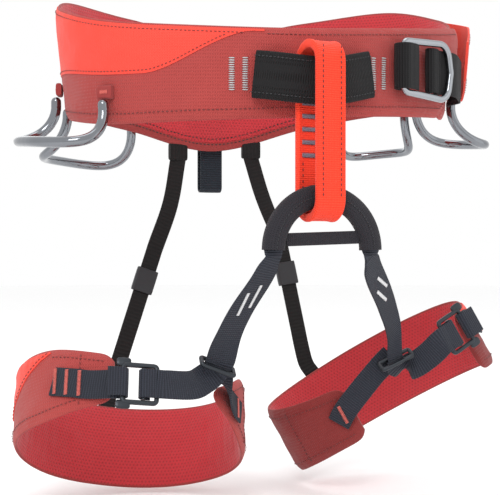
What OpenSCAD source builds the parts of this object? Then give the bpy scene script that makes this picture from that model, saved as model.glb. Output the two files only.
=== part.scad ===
// Sit harness: padded waist belt, belay loop and two padded leg loops.
// Frame: origin in the middle of the waist opening at the height of the front belt,
// +Z up, the front faces -Y, the waist buckle is on +X. Millimetres.

/* [Waist belt] */
// Width across the belt, outside to outside
waist_width = 332; // [280:1:400]
// Depth of the belt, front to back, outside to outside
waist_depth = 216; // [190:1:260]
// Thickness of the padded belt
belt_thickness = 8; // [7:0.5:10]
// Height of the belt's top edge, every 30 degrees from the front to the back
top_edge = [33, 37, 46, 62, 77, 73, 62];
// Height of the belt's bottom edge, every 30 degrees from the front to the back
bottom_edge = [-30, -29, -27, -20, -14, -21, -38];
// Rise of the belt towards the buckle side, per millimetre
side_rise = 0.05; // [0:0.01:0.08]
// How much the belt widens upwards over the hips, per millimetre
hip_flare = 0.1; // [0:0.01:0.12]
// Thickness of the fabric skins
skin = 1; // [0.8:0.1:1.2]
// How far the tie-in points sit towards the hip without a buckle
front_shift = 10; // [0:1:15]

/* [Webbing] */
// Width of the waist webbing
waist_webbing_width = 33; // [30:1:38]
// Thickness of the waist webbing
waist_webbing_thickness = 1.6; // [1.2:0.1:1.6]
// Width of the leg webbing
leg_webbing_width = 21; // [18:1:25]
// Thickness of the leg webbing
leg_webbing_thickness = 1.6; // [1.2:0.1:2]
// Width of the riser elastic
riser_width = 14; // [12:1:16]
// Thickness of the riser elastic
riser_thickness = 1.6; // [1.2:0.1:2]

/* [Belay loop] */
// Length of the belay loop, outside
belay_length = 124; // [115:1:140]
// Depth of the belay loop, outside
belay_depth = 31; // [31:1:36]
// Width of the belay loop webbing
belay_width = 22; // [18:1:22]
// Thickness of the belay loop webbing
belay_thickness = 5; // [4:0.5:5]
// Turn of the belay loop about the vertical, degrees
belay_turn = 6; // [-8:1:8]
// How far the belay loop has slid along its tie-in points
belay_slide = 3; // [0:1:5]

/* [Tie-in points] */
// Height of the waist tie-in sleeve
tie_in_height = 33; // [28:1:34]
// Span of the waist tie-in sleeve along the belt
tie_in_span = 84; // [80:1:100]
// Thickness of the tie-in sleeves' fabric
sleeve_wall = 1.4; // [1:0.1:1.6]
// Radius of the leg tie-in arch, to the middle of its tube
arch_radius = 37; // [33:1:42]

/* [Gear loops] */
// Diameter of the gear loop tube
gear_tube = 7.6; // [6:0.2:8]
// Front left gear loop: drop below its ends and reach away from the belt
front_left_gear = [29, 33];
// Rear left gear loop: drop and reach
rear_left_gear = [33, 36];
// Front right gear loop: drop and reach
front_right_gear = [34, 41];
// Rear right gear loop: drop and reach
rear_right_gear = [35, 28];

/* [Leg loops] */
// Thickness of the leg pads
leg_thickness = 8; // [7:0.5:10]
// Half width and half depth of the left leg loop
left_leg_size = [89, 74];
// Half width and half depth of the right leg loop
right_leg_size = [94, 56];

/* [Buckles] */
// Length of the waist buckle along the belt
waist_buckle_length = 60; // [56:1:64]
// Diameter of the buckle bars
bar = 4; // [3.5:0.5:4.5]
// Length of a leg buckle along its strap
leg_buckle_length = 27; // [26:1:34]
// Diameter of the leg buckle bars
leg_bar = 3.4; // [3:0.2:3.6]

/* [Hidden] */

gap = 0.2;                          // between layers that lie on each other
joint_gap = 0.6;                    // between pieces that move past each other
brick = "#C4504E";
coral = "#F8584A";
mesh_red = "#D93640";
black = "#1E1D1F";
slate = "#3F434D";

// ---- small maths
function unit(v) = v / norm(v);
function ease(a, b, x) = let (f = min(max((x - a) / (b - a), 0), 1)) f * f * (3 - 2 * f);
function mix(a, b, f) = a + (b - a) * f;
function cubic(p, q, r, s, f) = 0.5 * (2 * q + (r - p) * f + (2 * p - 5 * q + 4 * r - s) * f * f
    + (3 * q - p - 3 * r + s) * f * f * f);
// value of an edge table that is the same on both sides, every 30 degrees from the front
function fold_angle(t) = abs((t + 180) % 360 - 180);
function edge_entry(table, k) = table[k < 0 ? -k : k > 6 ? 12 - k : k];
function edge_height(table, t) = let (x = fold_angle(t) / 30, i = min(floor(x), 5))
    cubic(edge_entry(table, i - 1), edge_entry(table, i), edge_entry(table, i + 1),
        edge_entry(table, i + 2), x - i);
// value of a table that goes once round, every 30 degrees
function round_entry(table, k) = table[(k + 12) % 12];
function round_height(table, s) = let (x = ((s + 360) % 360) / 30, i = floor(x))
    cubic(round_entry(table, i - 1), round_entry(table, i), round_entry(table, i + 1),
        round_entry(table, i + 2), x - i);
// a smooth open curve through the points, n steps between each two
function curve(p, n = 4) = let (m = len(p) - 1)
    concat([for (i = [0:m - 1], j = [0:n - 1])
        cubic(i == 0 ? 2 * p[0] - p[1] : p[i - 1], p[i], p[i + 1],
            i == m - 1 ? 2 * p[m] - p[m - 1] : p[i + 2], j / n)], [p[m]]);
// corner of a pad's end: how far the edge comes in, x from 0 to 1 at the end
function corner(x, r) = x <= 0 ? 0 : r * (1 - sqrt(max(1 - x * x, 0)));

// ---- solids swept from rings of points; each ring turns left round the way it travels
module loft(rings, closed = false) {
    n = len(rings);
    k = len(rings[0]);
    last = closed ? n - 1 : n - 2;
    sides = [for (i = [0:last], j = [0:k - 1])
        let (a = i * k, b = (i + 1) % n * k, m = (j + 1) % k)
        each [[a + j, b + j, b + m], [a + j, b + m, a + m]]];
    ends = closed ? [] : [[for (j = [0:k - 1]) j], [for (j = [k - 1:-1:0]) (n - 1) * k + j]];
    polyhedron([for (r = rings) each r], concat(sides, ends), convexity = 6);
}

// an open tube with a wall: outer and inner rings with the same number of points
module hollow_loft(outer, inner) {
    n = len(outer);
    k = len(outer[0]);
    c = n * k;
    e = (n - 1) * k;
    faces = concat(
        [for (i = [0:n - 2], j = [0:k - 1]) let (a = i * k, b = a + k, m = (j + 1) % k)
            each [[a + j, b + j, b + m], [a + j, b + m, a + m],
                [c + a + j, c + b + m, c + b + j], [c + a + j, c + a + m, c + b + m]]],
        [for (j = [0:k - 1]) let (m = (j + 1) % k)
            each [[j, m, c + m], [j, c + m, c + j],
                [e + j, c + e + m, e + m], [e + j, c + e + j, c + e + m]]]);
    polyhedron([for (r = concat(outer, inner)) each r], faces, convexity = 6);
}

function tangents(p, closed) = let (n = len(p))
    [for (i = [0:n - 1]) unit(closed ? p[(i + 1) % n] - p[(i + n - 1) % n]
        : p[min(i + 1, n - 1)] - p[max(i - 1, 0)])];
function at(value, i) = is_list(value) ? value[i] : value;
// a flat strap: p is its middle line, across is the direction of its width at each point
function strap_rings(p, across, width, thick, closed = false) = let (tan = tangents(p, closed))
    [for (i = [0:len(p) - 1])
        let (a = is_list(across[0]) ? across[i] : across, w = unit(a - (a * tan[i]) * tan[i]),
            n = cross(tan[i], w), hw = at(width, i) / 2, ht = at(thick, i) / 2)
        [p[i] - hw * w - ht * n, p[i] + hw * w - ht * n,
            p[i] + hw * w + ht * n, p[i] - hw * w + ht * n]];
module strap(p, across, width, thick, closed = false)
    loft(strap_rings(p, across, width, thick, closed), closed);
// an oval tube with the given number of sides
function tube_rings(p, across, a, b, sides, closed = false) = let (tan = tangents(p, closed))
    [for (i = [0:len(p) - 1])
        let (w0 = is_list(across[0]) ? across[i] : across,
            w = unit(w0 - (w0 * tan[i]) * tan[i]), n = cross(tan[i], w))
        [for (j = [0:sides - 1]) p[i] + at(a, i) * cos(j * 360 / sides) * w
            + at(b, i) * sin(j * 360 / sides) * n]];

// ---- the belt: t is the angle round the waist, 0 at the front and 90 at the buckle hip
pad_start = 50;                     // end of the hip pad, under the tongue
pad_end = 417;                      // tip of the tongue
belt_a = waist_width / 2;
belt_b = waist_depth / 2;
lap = belt_thickness + joint_gap;   // the tongue lies over the hip pad
up = [0, 0, 1];
function belt_lap(t) = lap * ease(330, 378, t);
function belt_normal(t) = unit([sin(t) / belt_a, -cos(t) / belt_b, 0]);
function belt_tangent(t) = cross(up, belt_normal(t));
flare_top = 70;                     // height where the belt has its full width
function belt_point(t, out, z) = [belt_a * sin(t), -belt_b * cos(t), z]
    + belt_normal(t) * (out + belt_lap(t) - hip_flare * (flare_top - z) * pow(sin(t), 2));
function belt_top(t) = edge_height(top_edge, t) + side_rise * belt_a * sin(t);
function belt_bottom(t) = edge_height(bottom_edge, t) + side_rise * belt_a * sin(t);
function belt_middle(t) = (belt_top(t) + belt_bottom(t)) / 2;
function end_run(t) = max(1 - (pad_end - t) / 5, 1 - (t - pad_start) / 6);
tongue_slant = 40;                  // the tongue's lower corner is cut away by this height
function belt_rings(t0, t1, n, low, high, inner, outer) = [for (i = [0:n]) let (t = mix(t0, t1, i / n),
        z0 = belt_bottom(t) + tongue_slant * pow(max(t - pad_end + 16, 0) / 16, 1.3)
            + corner(1 - (t - pad_start) / 6, 8) + low,
        z1 = belt_top(t) - corner(end_run(t), 8) - high)
    [belt_point(t, inner, z0), belt_point(t, inner, z1),
        belt_point(t, outer, z1), belt_point(t, outer, z0)]];
// a band on the belt with edges given by the caller: rows of [t, low z, high z, out]
module belt_band(rows, thick)
    loft([for (r = rows) [belt_point(r[0], r[3], r[1]), belt_point(r[0], r[3], r[2]),
        belt_point(r[0], r[3] + thick, r[2]), belt_point(r[0], r[3] + thick, r[1])]]);

module waist_shell() color(brick)
    loft(belt_rings(pad_start, pad_end, 90, 0, 0, -skin, 0));
foam_outer = -skin - waist_webbing_thickness - 3 * gap;
module waist_foam() color("#B8433F")
    loft(belt_rings(pad_start, pad_end, 90, 1, 1, skin + 2 * gap - belt_thickness, foam_outer));
module waist_lining() color(mesh_red)
    loft(belt_rings(pad_start, pad_end, 90, 0, 0, -belt_thickness, skin - belt_thickness));
// the webbing that carries the load runs between the shell and the foam
module waist_webbing() color(black)
    belt_band([for (i = [0:80]) let (t = mix(96, pad_end - 8, i / 80), m = belt_middle(t))
        [t, m - waist_webbing_width / 2, m + waist_webbing_width / 2,
            -skin - waist_webbing_thickness - gap]], waist_webbing_thickness);
// edge binding along the inside of the low back edge
binding_height = 7;
binding = 0.8;
module waist_binding() color("#A23A38")
    belt_band([for (i = [0:40]) let (t = mix(112, 248, i / 40))
        [t, belt_bottom(t), belt_bottom(t) + binding_height, -belt_thickness - gap - binding]],
        binding);

// coral panels over the hips, their lower edge sweeps up to the top edge
panel = 0.8;
function panel_low(t, front, back) = mix(7 - 7 * ease(front - 83, front - 39, t), belt_top(t) - 2,
    max(ease(front - 33, front, t), 1 - ease(back, back + 34, t)));
module hip_panel(back, front) color(coral)
    belt_band([for (i = [0:30]) let (t = mix(back, front, i / 30))
        [t, min(panel_low(t, front, back), belt_top(t) - 2), belt_top(t) - 0.5, gap]], panel);
module hip_panel_left() hip_panel(216, 345);
module hip_panel_right() hip_panel(106, 148);

// ---- tie-in sleeve: webbing in a fabric sleeve that stands off the belt
front_x = -front_shift;
front_t = 360 + asin(front_x / belt_a);
belay_y = -belt_b - 22.5;
tie_in_half = tie_in_span / 2;
tie_in_sag = 6.5;                   // the sleeve's middle hangs below its ends
tie_in_end_z = -0.5;
tie_in_y0 = -belt_b - 21;
function tie_in_point(f) = let (x = front_x + f * tie_in_half, bow = pow(cos(90 * f), 1.1),
        t = 360 + asin(x / (belt_a + lap / 2)), rest = belt_point(t, 3.8, 0))
    [mix(rest[0], x, bow), mix(rest[1], tie_in_y0, bow),
        tie_in_end_z + 1.5 * f - tie_in_sag * bow];
tie_in_path = [for (i = [-12:12]) tie_in_point(i / 12)];
module tie_in_sleeve() color(black)
    hollow_loft(strap_rings(tie_in_path, up, tie_in_height, 5.6),
        strap_rings(tie_in_path, up, tie_in_height - 2 * sleeve_wall, 5.6 - 2 * sleeve_wall));
module tie_in_webbing() color(black)
    strap(tie_in_path, up, tie_in_height - 2 * sleeve_wall - 1, 5.6 - 2 * sleeve_wall - 2 * gap);
// bar tacks through the shell on both sides of the sleeve
tack_height = 22;
tack_width = 4.5;
tack_angles = [-23.2, -19.8, 13.2, 16.4];
module waist_bartacks() color("#B9BBBC")
    for (a = tack_angles) let (t = 360 + a, n = belt_normal(t), z = belt_middle(t) - 1)
        translate(belt_point(t, gap + 0.4, z)) rotate([0, 0, atan2(n[1], n[0])])
            cube([0.6, tack_width, tack_height], center = true);

// ---- waist buckle: a flat forged frame on the tongue, in its own plane:
// x along the belt, y out of the belt, z up
buckle_t = 389;
buckle_z = belt_middle(buckle_t) + 1;
buckle_width = waist_webbing_width + 2 * bar + 5;
module at_buckle() translate(belt_point(buckle_t, 0, buckle_z))
    rotate([0, 0, atan2(belt_tangent(buckle_t)[1], belt_tangent(buckle_t)[0])])
        mirror([0, 1, 0]) children();
function from_buckle(x, y) = belt_point(buckle_t, 0, buckle_z) + x * belt_tangent(buckle_t)
    + y * belt_normal(buckle_t);
under_y = 1.1;                      // lowest strap layer over the tongue
bar_y = under_y + 4 * gap + waist_webbing_thickness + bar / 2;
frame_y = bar_y + 2.2;
slider_x = 6.5;
// outline of the frame: narrower at the left bar, wide round corners at the right
module frame_outline(inset) offset(r = -inset) hull() {
    for (s = [-1, 1]) {
        translate([-waist_buckle_length / 2 + 8, s * (buckle_width / 2 - 9)]) circle(r = 7, $fn = 32);
        translate([waist_buckle_length / 2 - 15, s * (buckle_width / 2 - 13)])
            circle(r = 13, $fn = 40);
    }
    translate([waist_buckle_length / 2 - 6, 0]) circle(r = 6, $fn = 24);
}
module waist_buckle_frame() color("#C9CCD0") at_buckle() translate([0, frame_y, 0])
    rotate([90, 0, 0]) difference() {
        translate([0, 0, -bar / 2]) linear_extrude(bar) frame_outline(0);
        translate([0, 0, -bar]) linear_extrude(2 * bar) frame_outline(bar + 1);
    }
// the sliding bar that the strap wraps, it rides inside the frame's side rails
slider_length = buckle_width - 2 * bar - 4.6;
module waist_buckle_slider() color("#8E9297") at_buckle() translate([slider_x, bar_y, 0])
    cylinder(d = bar, h = slider_length, center = true, $fn = 24);
// a short loop of webbing holds the frame's left bar to the tongue
module buckle_anchor_loop() color(black) {
    x0 = -waist_buckle_length / 2 + 1;
    r = bar / 2 + 1.8 + gap + waist_webbing_thickness / 2;
    low = [for (x = [16, 10, 4]) from_buckle(x0 + x, under_y - 0.2)];
    round_bar = [for (a = [0:20:180]) from_buckle(x0 + 2.5 - r * sin(a),
        mix(under_y - 0.2, frame_y + r, (1 - cos(a)) / 2))];
    high = [for (x = [4, 10, 17]) from_buckle(x0 + x, frame_y + r - x * x * 0.012)];
    strap(concat(low, round_bar, high), up, waist_webbing_width, waist_webbing_thickness);
}
// the strap: sewn to the hip pad, led over the tongue's tip and under the frame's right bar
strap_y = frame_y - bar / 2 - gap - waist_webbing_thickness / 2 - 0.2;
strap_end = 18.5;                    // from the sliding bar to where its own webbing begins
strap_rise = [[71, 1.1], [68, 1.2], [65, 2.4], [62, 6], [59.5, 9], [57, 10]];
belt_up = up + belt_normal(68) * hip_flare * pow(sin(68), 2);
module waist_strap() color(black)
    strap(curve(concat([for (e = strap_rise) belt_point(e[0], e[1], buckle_z)],
        [from_buckle(46, -0.4), from_buckle(35, strap_y - 0.4),
            from_buckle(slider_x + strap_end, strap_y)]), 2),
        [for (i = [0:16]) mix(belt_up, up, ease(4, 12, i))], waist_webbing_width,
        waist_webbing_thickness);
// the part of the strap round the sliding bar, its end lies under the strap
layer_y = bar / 2 + gap + waist_webbing_thickness / 2;
module strap_wrap() color(black)
    strap(concat([from_buckle(slider_x + strap_end - 0.4, strap_y),
            from_buckle(slider_x + 12, strap_y), from_buckle(slider_x + 5, bar_y + 2.6)],
        [for (a = [0:30:180])
            from_buckle(slider_x - layer_y * sin(a), bar_y + layer_y * cos(a))],
        [from_buckle(slider_x + 8, bar_y - layer_y), from_buckle(slider_x + 14, bar_y - layer_y)]),
        up, waist_webbing_width, waist_webbing_thickness);
// a fabric cover that stands off the hip pad and keeps the strap
cover_bow = 11;
module strap_cover() color(brick)
    belt_band([for (i = [0:16]) let (t = mix(62, 102, i / 16), f = ease(102, 70, t),
            edge = ease(74, 62, t))
        [t, belt_bottom(t) + 14 + 16 * edge, belt_top(t) - 2 - 10 * edge, 0.3 + cover_bow * f]], 1.4);

// ---- haul loop at the middle of the back, and the tab that holds it
haul_width = 20;
haul_thickness = 2;
haul_half = 3.5;                    // from the loop's middle to the middle of each strand
haul_y = belt_b + haul_half + haul_thickness / 2 + 1.2;
haul_z = belt_bottom(180) + 2;
module haul_loop() color("#2C333D") {
    side = [for (z = [0, -10, -20, -30]) [0, haul_y - haul_half, haul_z + z]];
    turn = [for (a = [0:30:180]) [0, haul_y - haul_half * cos(a), haul_z - 33 - haul_half * sin(a)]];
    back = [for (z = [-30, -20, -10, 0]) [0, haul_y + haul_half, haul_z + z]];
    strap(concat(side, turn, back), [1, 0, 0], haul_width, haul_thickness);
}
// the tab is as deep as the loop and is sewn to the belt
tab_depth = haul_half + haul_thickness / 2 + haul_y - belt_b - gap;
module haul_loop_tab() color(brick) translate([0, belt_b + gap + tab_depth / 2, haul_z + 11.2])
    cube([haul_width + 6, tab_depth, 16], center = true);

// ---- gear loops: round tube, down from two tabs, then out, with a straight bar
gears = [
    // angles of the two ends round the waist, height of the ends over the belt's edge, drop and reach
    [256, 299, 13, front_left_gear],
    [207, 240, 5, rear_left_gear],
    [77, 106, 12, front_right_gear],
    [112, 138, 5, rear_right_gear]];
gear_off = gear_tube / 2 + 1.2;
function gear_end_z(g, t) = belt_bottom(t) + g[2];
function gear_point(g, a) = let (n = 3,
        w = (cos(a) < 0 ? -1 : 1) * pow(abs(cos(a)), 2 / n), q = pow(sin(a), 2 / n),
        middle = (g[0] + g[1]) / 2, half = (g[1] - g[0]) / 2,
        t = middle + w * half * (1 + 0.1 * q), side = middle + w * half)
    belt_point(t, gear_off + g[3][1] * (1 - cos(90 * q)),
        gear_end_z(g, side) - g[3][0] * sin(90 * q));
// both ends are round, so the loop can swing about the line between them
module gear_loop(k) color("#C9CCD0") {
    r = gear_tube / 2;
    p = [for (i = [0:36]) gear_point(gears[k], i * 5)];
    first = unit(p[0] - p[1]);
    final = unit(p[36] - p[35]);
    path = concat([for (a = [70, 45, 20]) p[0] + first * r * sin(a)], p,
        [for (a = [20, 45, 70]) p[36] + final * r * sin(a)]);
    radii = concat([for (a = [70, 45, 20]) r * cos(a)], [for (i = [0:36]) r],
        [for (a = [20, 45, 70]) r * cos(a)]);
    loft(tube_rings(path, [0.01, 0.02, 1], radii, radii, 12));
}
// fabric tabs that hold the ends of the gear loops
tab_height = 9;
module gear_loop_tabs() color(brick)
    for (g = gears, t = [g[0], g[1]]) let (n = belt_normal(t))
        translate(belt_point(t, gap + panel + gap + 1.6, gear_end_z(g, t) + gear_tube / 2
            + joint_gap + tab_height / 2))
            rotate([0, 0, atan2(n[1], n[0])]) cube([2.6, 11, tab_height], center = true);

// ---- belay loop: closed ring of webbing round both tie-in points
belay_top = 20;
belay_r = (belay_depth - belay_thickness) / 2;
belay_straight = belay_length - belay_depth;
belay_x = front_x - belay_slide;
module at_belay() translate([belay_x, belay_y, 0]) rotate([0, 0, belay_turn]) children();
belay_upper = belay_top - belay_depth / 2;
belay_lower = belay_upper - belay_straight;
belay_path = concat(
    [for (a = [0:15:180]) [0, belay_r * cos(a), belay_upper + belay_r * sin(a)]],
    [for (a = [180:15:360]) [0, belay_r * cos(a), belay_lower + belay_r * sin(a)]]);
module belay_loop() color("#FF4A2E") at_belay()
    strap(belay_path, [1, 0, 0], belay_width, belay_thickness, closed = true);
module belay_loop_bartacks() color("#7C7788") at_belay()
    for (i = [0:4]) translate([0, belay_r + belay_thickness / 2 + 0.5, -22 - 9 * i])
        cube([belay_width - 7, 0.6, 3.2], center = true);

// ---- leg tie-in: a padded arch through the belay loop
arch_x = front_x - 1;
arch_tube = [8, 6];                 // half height and half depth of the arch's tube
arch_z = belay_lower - belay_r + belay_thickness / 2 + arch_tube[0] + 4.6 - arch_radius;
arch = [for (i = [0:18]) let (a = 180 - i * 10)
    [arch_x + arch_radius * cos(a), belay_y, arch_z + arch_radius * sin(a)]];
arch_out = [for (i = [0:18]) let (a = 180 - i * 10) [cos(a), 0, sin(a)]];
module leg_tie_in_sleeve() color("#35333A")
    hollow_loft(tube_rings(arch, arch_out, arch_tube[0], arch_tube[1], 12),
        tube_rings(arch, arch_out, arch_tube[0] - sleeve_wall, arch_tube[1] - sleeve_wall, 12));
module leg_tie_in_webbing() color(slate)
    strap(arch, arch_out, 10, 4);
cross_z = arch_z + 8;
cross_high = 9;
cross_half = sqrt(pow(arch_radius - arch_tube[0], 2) - pow(8 + cross_high / 2 + 1, 2));
module cross_strap() color("#35333A") translate([arch_x, belay_y, cross_z])
    rotate([0, -2, 0]) cube([2 * cross_half - 2 * gap, 1.8, cross_high], center = true);

// ---- leg loops: each is made in its own frame and hung at its own place and tilt,
// x towards the outer thigh, front at -y; s is the angle round the thigh, 0 at the front
legs = [
    // place, tilt about x, y and z, size, outer end, inner end, buckle angle and height,
    // end of the buckle's strap on the pad
    [[-108, -4, -248], [-27, 11, 0], left_leg_size, 25, 332, [14, -8], [56, 0]],
    [[106, -2, -235], [-1, -29, -20], right_leg_size, 56, 340, [44, 15], [84, 8]]];
leg_heights = [
    [30, 38, 54, 58, 62, 66, 66, 66, 64, 62, 56, 16],
    [44, 46, 52, 58, 62, 64, 64, 62, 60, 58, 52, 46]];
function leg_normal(k, s) = let (e = legs[k][2]) unit([sin(s) / e[0], -cos(s) / e[1], 0]);
function leg_tangent(k, s) = cross(up, leg_normal(k, s));
function leg_point(k, s, out, z) = let (e = legs[k][2])
    [e[0] * sin(s), -e[1] * cos(s), z] + leg_normal(k, s) * out;
function turn_x(v, a) = [v[0], v[1] * cos(a) - v[2] * sin(a), v[1] * sin(a) + v[2] * cos(a)];
function turn_y(v, a) = [v[0] * cos(a) + v[2] * sin(a), v[1], v[2] * cos(a) - v[0] * sin(a)];
function turn_z(v, a) = [v[0] * cos(a) - v[1] * sin(a), v[0] * sin(a) + v[1] * cos(a), v[2]];
// a direction and a point of a leg loop's own frame in the harness frame
function leg_turned(k, v) = let (r = legs[k][1])
    turn_z(turn_y(turn_x([k == 0 ? -v[0] : v[0], v[1], v[2]], r[0]), r[1]), r[2]);
function in_harness(k, v) = legs[k][0] + leg_turned(k, v);
module at_leg(k) translate(legs[k][0]) rotate(legs[k][1]) mirror([k == 0 ? 1 : 0, 0, 0]) children();
function leg_run(k, s) = max(1 - (s - legs[k][3]) / 8, 1 - (legs[k][4] - s) / 8);
function leg_half(k, s) = round_height(leg_heights[k], s) / 2 - corner(leg_run(k, s), 6);
function leg_rings(k, s0, s1, n, inset, inner, outer) = [for (i = [0:n])
    let (s = mix(s0, s1, i / n), h = leg_half(k, s) - inset)
    [leg_point(k, s, inner, -h), leg_point(k, s, inner, h),
        leg_point(k, s, outer, h), leg_point(k, s, outer, -h)]];
module leg_layer(k, inset, inner, outer) at_leg(k)
    loft(leg_rings(k, legs[k][3], legs[k][4], 56, inset, inner, outer));
module leg_shell(k) color(brick) leg_layer(k, 0, -skin, 0);
module leg_foam(k) color("#B8433F")
    leg_layer(k, 1, skin + gap - leg_thickness, -skin - gap);
module leg_lining(k) color(mesh_red) leg_layer(k, 0, -leg_thickness, skin - leg_thickness);
// accent panel on the outer thigh, its edges slant
accent = [60, 104];
module leg_accent(k) color(coral) at_leg(k)
    loft([for (i = [0:14]) let (f = i / 14, s = mix(accent[0], accent[1], f), h = leg_half(k, s),
            low = mix(h - 4, -0.35 * h, f))
        [leg_point(k, s, gap, low), leg_point(k, s, gap, h - 3),
            leg_point(k, s, gap + panel, h - 3), leg_point(k, s, gap + panel, low)]]);

// ring: a rectangular link round the webbing, tied to the pad's inner end
ring_rod = 3.2;
ring_long = leg_webbing_width + 8;
ring_short = 12;
rings = [
    // middle, way the webbing goes through it, long side
    [[-67, -76, -206], [-0.3, 0.55, -0.8], [0.82, 0.1, -0.5]],
    [[86, -62, -208], [0.5, 0.4, -0.8], [0.9, -0.15, 0.25]]];
function ring_way(k) = unit(rings[k][1]);
function ring_side(k) = let (w = ring_way(k)) unit(rings[k][2] - (rings[k][2] * w) * w);
module at_ring(k) let (w = ring_way(k), a = ring_side(k), b = cross(w, a), c = rings[k][0])
    multmatrix([[a[0], b[0], w[0], c[0]], [a[1], b[1], w[1], c[1]],
        [a[2], b[2], w[2], c[2]], [0, 0, 0, 1]]) children();
module rounded(x, y, r) hull()
    for (i = [-1, 1], j = [-1, 1])
        translate([i * (x / 2 - r), j * (y / 2 - r)]) circle(r = r, $fn = 24);
module leg_ring(k) color("#4C5054") at_ring(k) difference() {
    linear_extrude(ring_rod, center = true) rounded(ring_long, ring_short, 3);
    linear_extrude(2 * ring_rod, center = true)
        rounded(ring_long - 2 * ring_rod, ring_short - 2 * ring_rod, 1);
}

// straps from the leg tie-in to the rings
split = 3.2;                        // where the webbing passes from the harness to the leg
bridge_middles = [
    [[-54, -124, arch_z - 20], [-62, -107, arch_z - 42], [-66, -91, arch_z - 63]],
    [[34, -121, arch_z - 16], [56, -98, arch_z - 36], [76, -76, arch_z - 60]]];
// way across the webbing where it leaves the arch and half way down, width at the ring
bridge_across = [
    [[0.9, 0.43, 0], [0.85, 0.4, -0.3], 1],
    [[0.8, 0.6, 0], [0.8, 0.55, 0.1], 0.6]];
function bridge_path(k) = curve(concat(
    [[arch_x + (k == 0 ? -1 : 1) * arch_radius, belay_y, arch_z - 3 * leg_webbing_thickness]],
    bridge_middles[k], [rings[k][0] - ring_way(k) * (split + 0.6)]), 4);
function bridge_side(k, f) = f < 0.6 ? mix(bridge_across[k][0], bridge_across[k][1], f / 0.6)
    : mix(bridge_across[k][1], ring_side(k), ease(0.6, 1, f));
module bridge_strap(k) color(slate) let (p = bridge_path(k), n = len(p) - 1)
    strap(p, [for (i = [0:n]) bridge_side(k, i / n)],
        [for (i = [0:n]) leg_webbing_width * mix(1, bridge_across[k][2], ease(0.55, 0.9, i / n))],
        leg_webbing_thickness);
// two slanting bar tacks on each strap
module bridge_bartacks() color("#E8E8E8")
    for (k = [0, 1], j = [0, 1]) let (p = bridge_path(k), i = 7 - j, c = p[i],
            w = unit(p[i + 1] - p[i - 1]),
            a0 = bridge_side(k, i / (len(p) - 1)),
            a = unit(a0 - (a0 * w) * w), b = cross(w, a), m = b[1] > 0 ? -1 : 1)
        multmatrix([[a[0], b[0], w[0], c[0]], [a[1], b[1], w[1], c[1]],
            [a[2], b[2], w[2], c[2]], [0, 0, 0, 1]])
            translate([j * 6 - 3, m * (leg_webbing_thickness / 2 + 0.6), 0])
                rotate([0, k == 0 ? 8 : 14, 0]) cube([2, 0.6, 20], center = true);

// ---- leg buckles: a frame with a sliding bar, in a plane along the pad
leg_buckle_width = leg_webbing_width + 2 * leg_bar + 3;
leg_buckle_thickness = 3.2;
buckle_out = 7;
function buckle_angle(k) = legs[k][5][0];
function buckle_place(k) = leg_point(k, buckle_angle(k), buckle_out, legs[k][5][1]);
function from_leg_buckle(k, x, y) = buckle_place(k) - x * leg_tangent(k, buckle_angle(k))
    + y * leg_normal(k, buckle_angle(k));
module at_leg_buckle(k) at_leg(k) translate(buckle_place(k))
    rotate([90, 0, atan2(leg_tangent(k, buckle_angle(k))[1], leg_tangent(k, buckle_angle(k))[0])])
        mirror([1, 0, 0]) children();
module leg_buckle(k) color("#4C5054") at_leg_buckle(k) difference() {
    union() {
        linear_extrude(leg_buckle_thickness, center = true)
            rounded(leg_buckle_length, leg_buckle_width, 4);
        for (s = [-1, 1]) translate([-leg_buckle_length / 2 + 2, s * (leg_buckle_width / 2 - 0.4), 0])
            linear_extrude(2.4, center = true) rounded(10, 8, 3);
    }
    linear_extrude(8, center = true)
        rounded(leg_buckle_length - 2 * leg_bar, leg_buckle_width - 2 * leg_bar, 1.5);
}
leg_bar_x = 2.6;
module leg_buckle_bar(k) color("#4C5054") at_leg_buckle(k) translate([leg_bar_x, 0, 0])
    rotate([90, 0, 0]) cylinder(d = leg_bar, h = leg_buckle_width - 2 * leg_bar - 1.2, center = true,
        $fn = 24);
// webbing from the pad round the frame's bar
module buckle_strap(k) color(slate) at_leg(k) {
    e = legs[k][6];
    r = leg_bar / 2 + gap + leg_webbing_thickness / 2 + 0.5;
    x0 = -leg_buckle_length / 2 + leg_bar / 2;
    sewn = [for (i = [0:3]) let (f = i / 4) leg_point(k, mix(e[0], buckle_angle(k) + 16, f),
        gap + panel + gap + leg_webbing_thickness / 2, mix(e[1], legs[k][5][1], f))];
    path = concat(curve(concat(sewn, [from_leg_buckle(k, x0 - 6, -r)]), 3),
        [for (a = [0:30:180]) from_leg_buckle(k, x0 + r * sin(a), -r * cos(a))],
        [from_leg_buckle(k, x0 - 5, r), from_leg_buckle(k, x0 - 11, r - 0.4)]);
    strap(path, up, leg_webbing_width, leg_webbing_thickness);
}
// webbing from the ring to the buckle: points in the harness frame
leg_strap_middles = [
    [[-76.5, -73.5, -215], [-87, -78, -218]],
    [[95, -59, -214.5], [105, -61, -212], [115, -65.5, -204]]];
leg_layer_y = leg_bar / 2 + gap + leg_webbing_thickness / 2;
leg_travel = 1.6;
over_y = leg_buckle_thickness / 2 + gap + leg_webbing_thickness / 2;
module leg_strap(k) color(slate) {
    path = curve(concat(
        [rings[k][0] - ring_way(k) * split * 0.4, rings[k][0] + ring_way(k) * 4.5],
        leg_strap_middles[k],
        [for (x = [6, -2]) in_harness(k, from_leg_buckle(k, leg_buckle_length / 2 + x, over_y))]), 3);
    n = len(path) - 1;
    strap(path, [for (i = [0:n]) mix(ring_side(k), -leg_turned(k, up), ease(0.1, 0.8, i / n))],
        leg_webbing_width, leg_webbing_thickness);
}
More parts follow.
